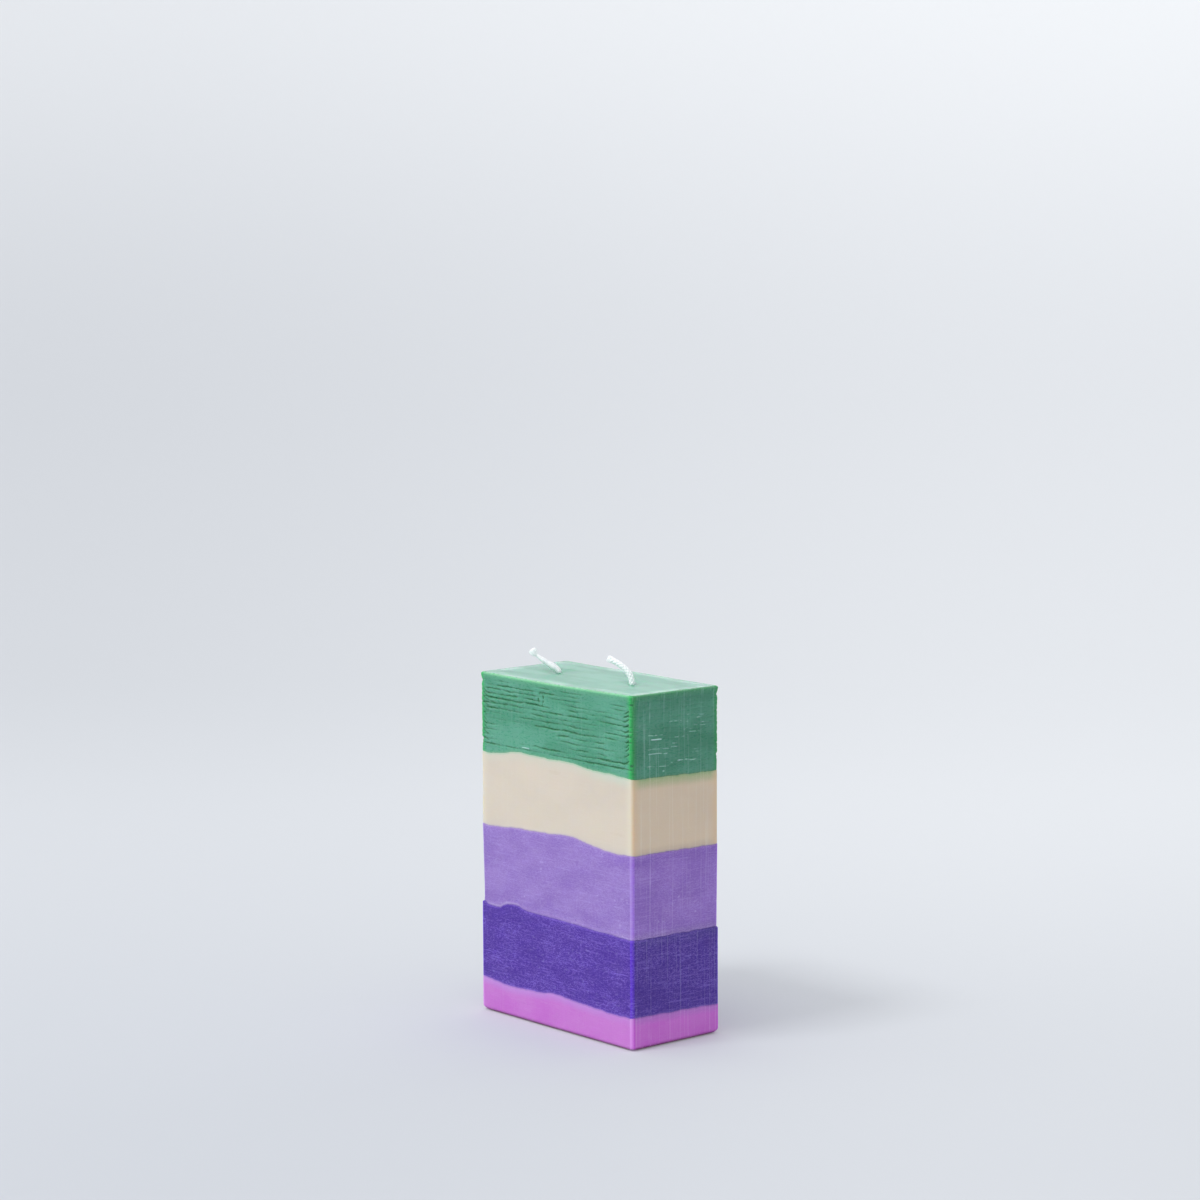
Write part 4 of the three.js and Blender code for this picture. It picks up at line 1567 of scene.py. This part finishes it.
class CandleSustainers(bpy.types.Operator):
    """Turns the two sustainers, with soft edges and a neck crimped on four sides."""

    bl_idname = "candle.sustainers"
    bl_label = "Sustainers"

    def execute(self, context):
        steel = tinned_steel()
        angles = bore_angles(96)
        wicks = partial(size, "candle_wicks")
        crimp = wicks("tab_recess") + wicks("tab_thickness") + wicks("neck_height") / 2.0
        for side in SIDES:
            solid = Solid()
            loops = []
            for radius, height in self.section():
                pinch = 1.0 - 0.06 * hump(height, crimp, 0.8) * (1.0 + np.cos(4.0 * angles))
                loops.append(solid.add(*circle(wick_axis(side), radius * pinch, angles), height))
            solid.bands([*loops, loops[0]])
            placed(solid.finish(f"{side}_sustainer", steel, 40.0), "tinned_steel", f"wick_tab_{side}")
        return {"FINISHED"}

    def section(self):
        """The closed section of a sustainer with its corners cut, from the wick at its underside."""
        profile = sustainer_profile()
        corners = [(wick_radius(), profile[0][1]), *profile]
        section = []
        for before, corner, after in zip([corners[-1], *corners[:-1]], corners, [*corners[1:], corners[0]]):
            here = np.array(corner)
            ways = [np.array(other) - here for other in (before, after)]
            cut = min(LARGEST_CUT, *(0.4 * float(np.linalg.norm(way)) for way in ways))
            section.extend(here + way / np.linalg.norm(way) * cut for way in ways)
        return section


class CandleStage(bpy.types.Operator):
    """Sets up the paper sweep, the soft light and the camera."""

    bl_idname = "candle.stage"
    bl_label = "Stage"

    def execute(self, context):
        scene = context.scene
        self.sweep(scene)
        self.lights(scene)
        self.camera(scene)
        scene.view_settings.view_transform = "Standard"
        return {"FINISHED"}

    def sweep(self, scene):
        """A wide sheet of paper that lies under the candle and curves up behind it, in metres."""
        floor_start = -3.0
        floor_end = 1.0
        bend = 0.9
        height = 2.4
        half_width = 3.5
        floor = [(back, 0.0) for back in np.linspace(floor_start, floor_end, 41)]
        turns = np.linspace(0.0, math.pi / 2.0, 33)[1:]
        curve = [(floor_end + bend * math.sin(turn), bend * (1.0 - math.cos(turn))) for turn in turns]
        profile = [*floor, *curve, (floor_end + bend, height)]
        across = np.linspace(-half_width, half_width, 36)
        turned = Matrix.Rotation(CAMERA_YAW, 3, "Z")
        points = [turned @ Vector((side, back, up)) for back, up in profile for side in across]
        columns = len(across)
        faces = []
        for row in range(len(profile) - 1):
            for column in range(columns - 1):
                start = row * columns + column
                faces.append((start, start + 1, start + columns + 1, start + columns))
        mesh = bpy.data.meshes.new("paper_sweep")
        mesh.from_pydata(points, [], faces)
        mesh.shade_smooth()
        mesh.materials.append(self.paper(scene))
        sheet = bpy.data.objects.new("paper_sweep", mesh)
        scene.collection.objects.link(sheet)

    def paper(self, scene):
        """Matt seamless paper, pale and cool. It glows a little, like a lit backdrop: more to the right,
        further back and higher up."""
        material, tree = new_material("seamless_paper_matt")
        place = add_node(tree, "ShaderNodeTexCoord", {}, {}).outputs["Object"]
        turn = {"Vector": place, "Rotation": (0.0, 0.0, -CAMERA_YAW)}
        turned = add_node(tree, "ShaderNodeMapping", {}, turn).outputs["Vector"]
        split = add_node(tree, "ShaderNodeSeparateXYZ", {}, {"Vector": turned}).outputs
        # The fan is how far to the right a point lies for each metre that it lies from the camera
        camera_distance = 1.4
        away = add_node(tree, "ShaderNodeMath", {"operation": "ADD"}, {0: split["Y"], 1: camera_distance})
        inputs = {0: split["X"], 1: away.outputs["Value"]}
        fan = add_node(tree, "ShaderNodeMath", {"operation": "DIVIDE"}, inputs)
        glow = 0.0
        for value, start, end, rise in (
            (fan.outputs["Value"], -0.19, 0.19, 0.11),
            (split["Y"], -0.3, 0.6, 0.15),
            (split["Z"], 0.15, 0.65, 0.17),
        ):
            inputs = dict(zip(RANGE, (value, start, end, 0.0, rise)))
            added = add_node(tree, "ShaderNodeMapRange", SMOOTHSTEP, inputs).outputs["Result"]
            summed = add_node(tree, "ShaderNodeMath", {"operation": "ADD"}, {0: glow, 1: added})
            glow = summed.outputs["Value"]
        inputs = {
            "Base Color": tuple(scene.candle_stage.paper),
            "Roughness": 0.9,
            "Specular IOR Level": 0.2,
            "Emission Color": linear("#fffffb"),
            "Emission Strength": glow,
        }
        shader = add_node(tree, "ShaderNodeBsdfPrincipled", {}, inputs)
        add_node(tree, "ShaderNodeOutputMaterial", {}, {"Surface": shader.outputs["BSDF"]})
        return material

    def lights(self, scene):
        """A soft key light from the front, and surroundings that are brighter on that side."""
        settings = scene.candle_stage
        lamp = bpy.data.lights.new("key_light", "AREA")
        lamp.energy = settings.key_power
        lamp.size = settings.key_size
        key = bpy.data.objects.new("key_light", lamp)
        key.location = KEY_WAY * settings.key_distance
        key.rotation_euler = KEY_WAY.to_track_quat("Z", "Y").to_euler()
        scene.collection.objects.link(key)
        world = bpy.data.worlds.new("soft_surroundings")
        world.use_nodes = True
        tree = world.node_tree
        tree.nodes.clear()
        way = add_node(tree, "ShaderNodeTexCoord", {}, {}).outputs["Generated"]
        facing = add_node(tree, "ShaderNodeVectorMath", {"operation": "DOT_PRODUCT"}, {0: way, 1: SKY_WAY})
        steps = (facing.outputs["Value"], -0.6, 0.8, settings.sky_dim, settings.sky_bright)
        inputs = dict(zip(RANGE, steps))
        strength = add_node(tree, "ShaderNodeMapRange", SMOOTHSTEP, inputs).outputs["Result"]
        inputs = {"Color": linear("#f9fbff"), "Strength": strength}
        background = add_node(tree, "ShaderNodeBackground", {}, inputs)
        add_node(tree, "ShaderNodeOutputWorld", {}, {"Surface": background.outputs["Background"]})
        scene.world = world

    def camera(self, scene):
        """The camera, at the angle that shows the front and the right of the candle."""
        lens = bpy.data.cameras.new("camera")
        lens.lens = scene.candle_stage.lens
        lens.sensor_width = 36.0
        camera = bpy.data.objects.new("camera", lens)
        turn = Matrix.Rotation(CAMERA_YAW, 4, "Z") @ Matrix.Rotation(math.pi / 2.0 + CAMERA_PITCH, 4, "X")
        camera.matrix_world = Matrix.Translation(CAMERA_PLACE) @ turn @ Matrix.Rotation(CAMERA_ROLL, 4, "Z")
        scene.collection.objects.link(camera)
        scene.camera = camera


STEPS = (
    CandlePinkPour,
    CandleVioletPour,
    CandleLilacPour,
    CandleCreamPour,
    CandleGreenPour,
    CandleWicks,
    CandleSustainers,
    CandleStage,
)
SETTINGS = {
    "candle_wax": WaxSizes,
    "candle_colours": WaxColours,
    "candle_wicks": WickSizes,
    "candle_stage": StageSizes,
}


def register():
    """Makes the settings, the steps and the panel known to Blender."""
    for kind in (*SETTINGS.values(), *STEPS, CandlePanel):
        bpy.utils.register_class(kind)
    for name, kind in SETTINGS.items():
        setattr(bpy.types.Scene, name, PointerProperty(type=kind))


def unregister():
    """Takes them away again."""
    for name in SETTINGS:
        delattr(bpy.types.Scene, name)
    for kind in (CandlePanel, *reversed(STEPS), *reversed(SETTINGS.values())):
        bpy.utils.unregister_class(kind)


def main():
    """Dresses the candle step by step."""
    register()
    bpy.ops.candle.pink_pour()
    bpy.ops.candle.violet_pour()
    bpy.ops.candle.lilac_pour()
    bpy.ops.candle.cream_pour()
    bpy.ops.candle.green_pour()
    bpy.ops.candle.wicks()
    bpy.ops.candle.sustainers()
    bpy.ops.candle.stage()


if __name__ == "__main__":
    main()
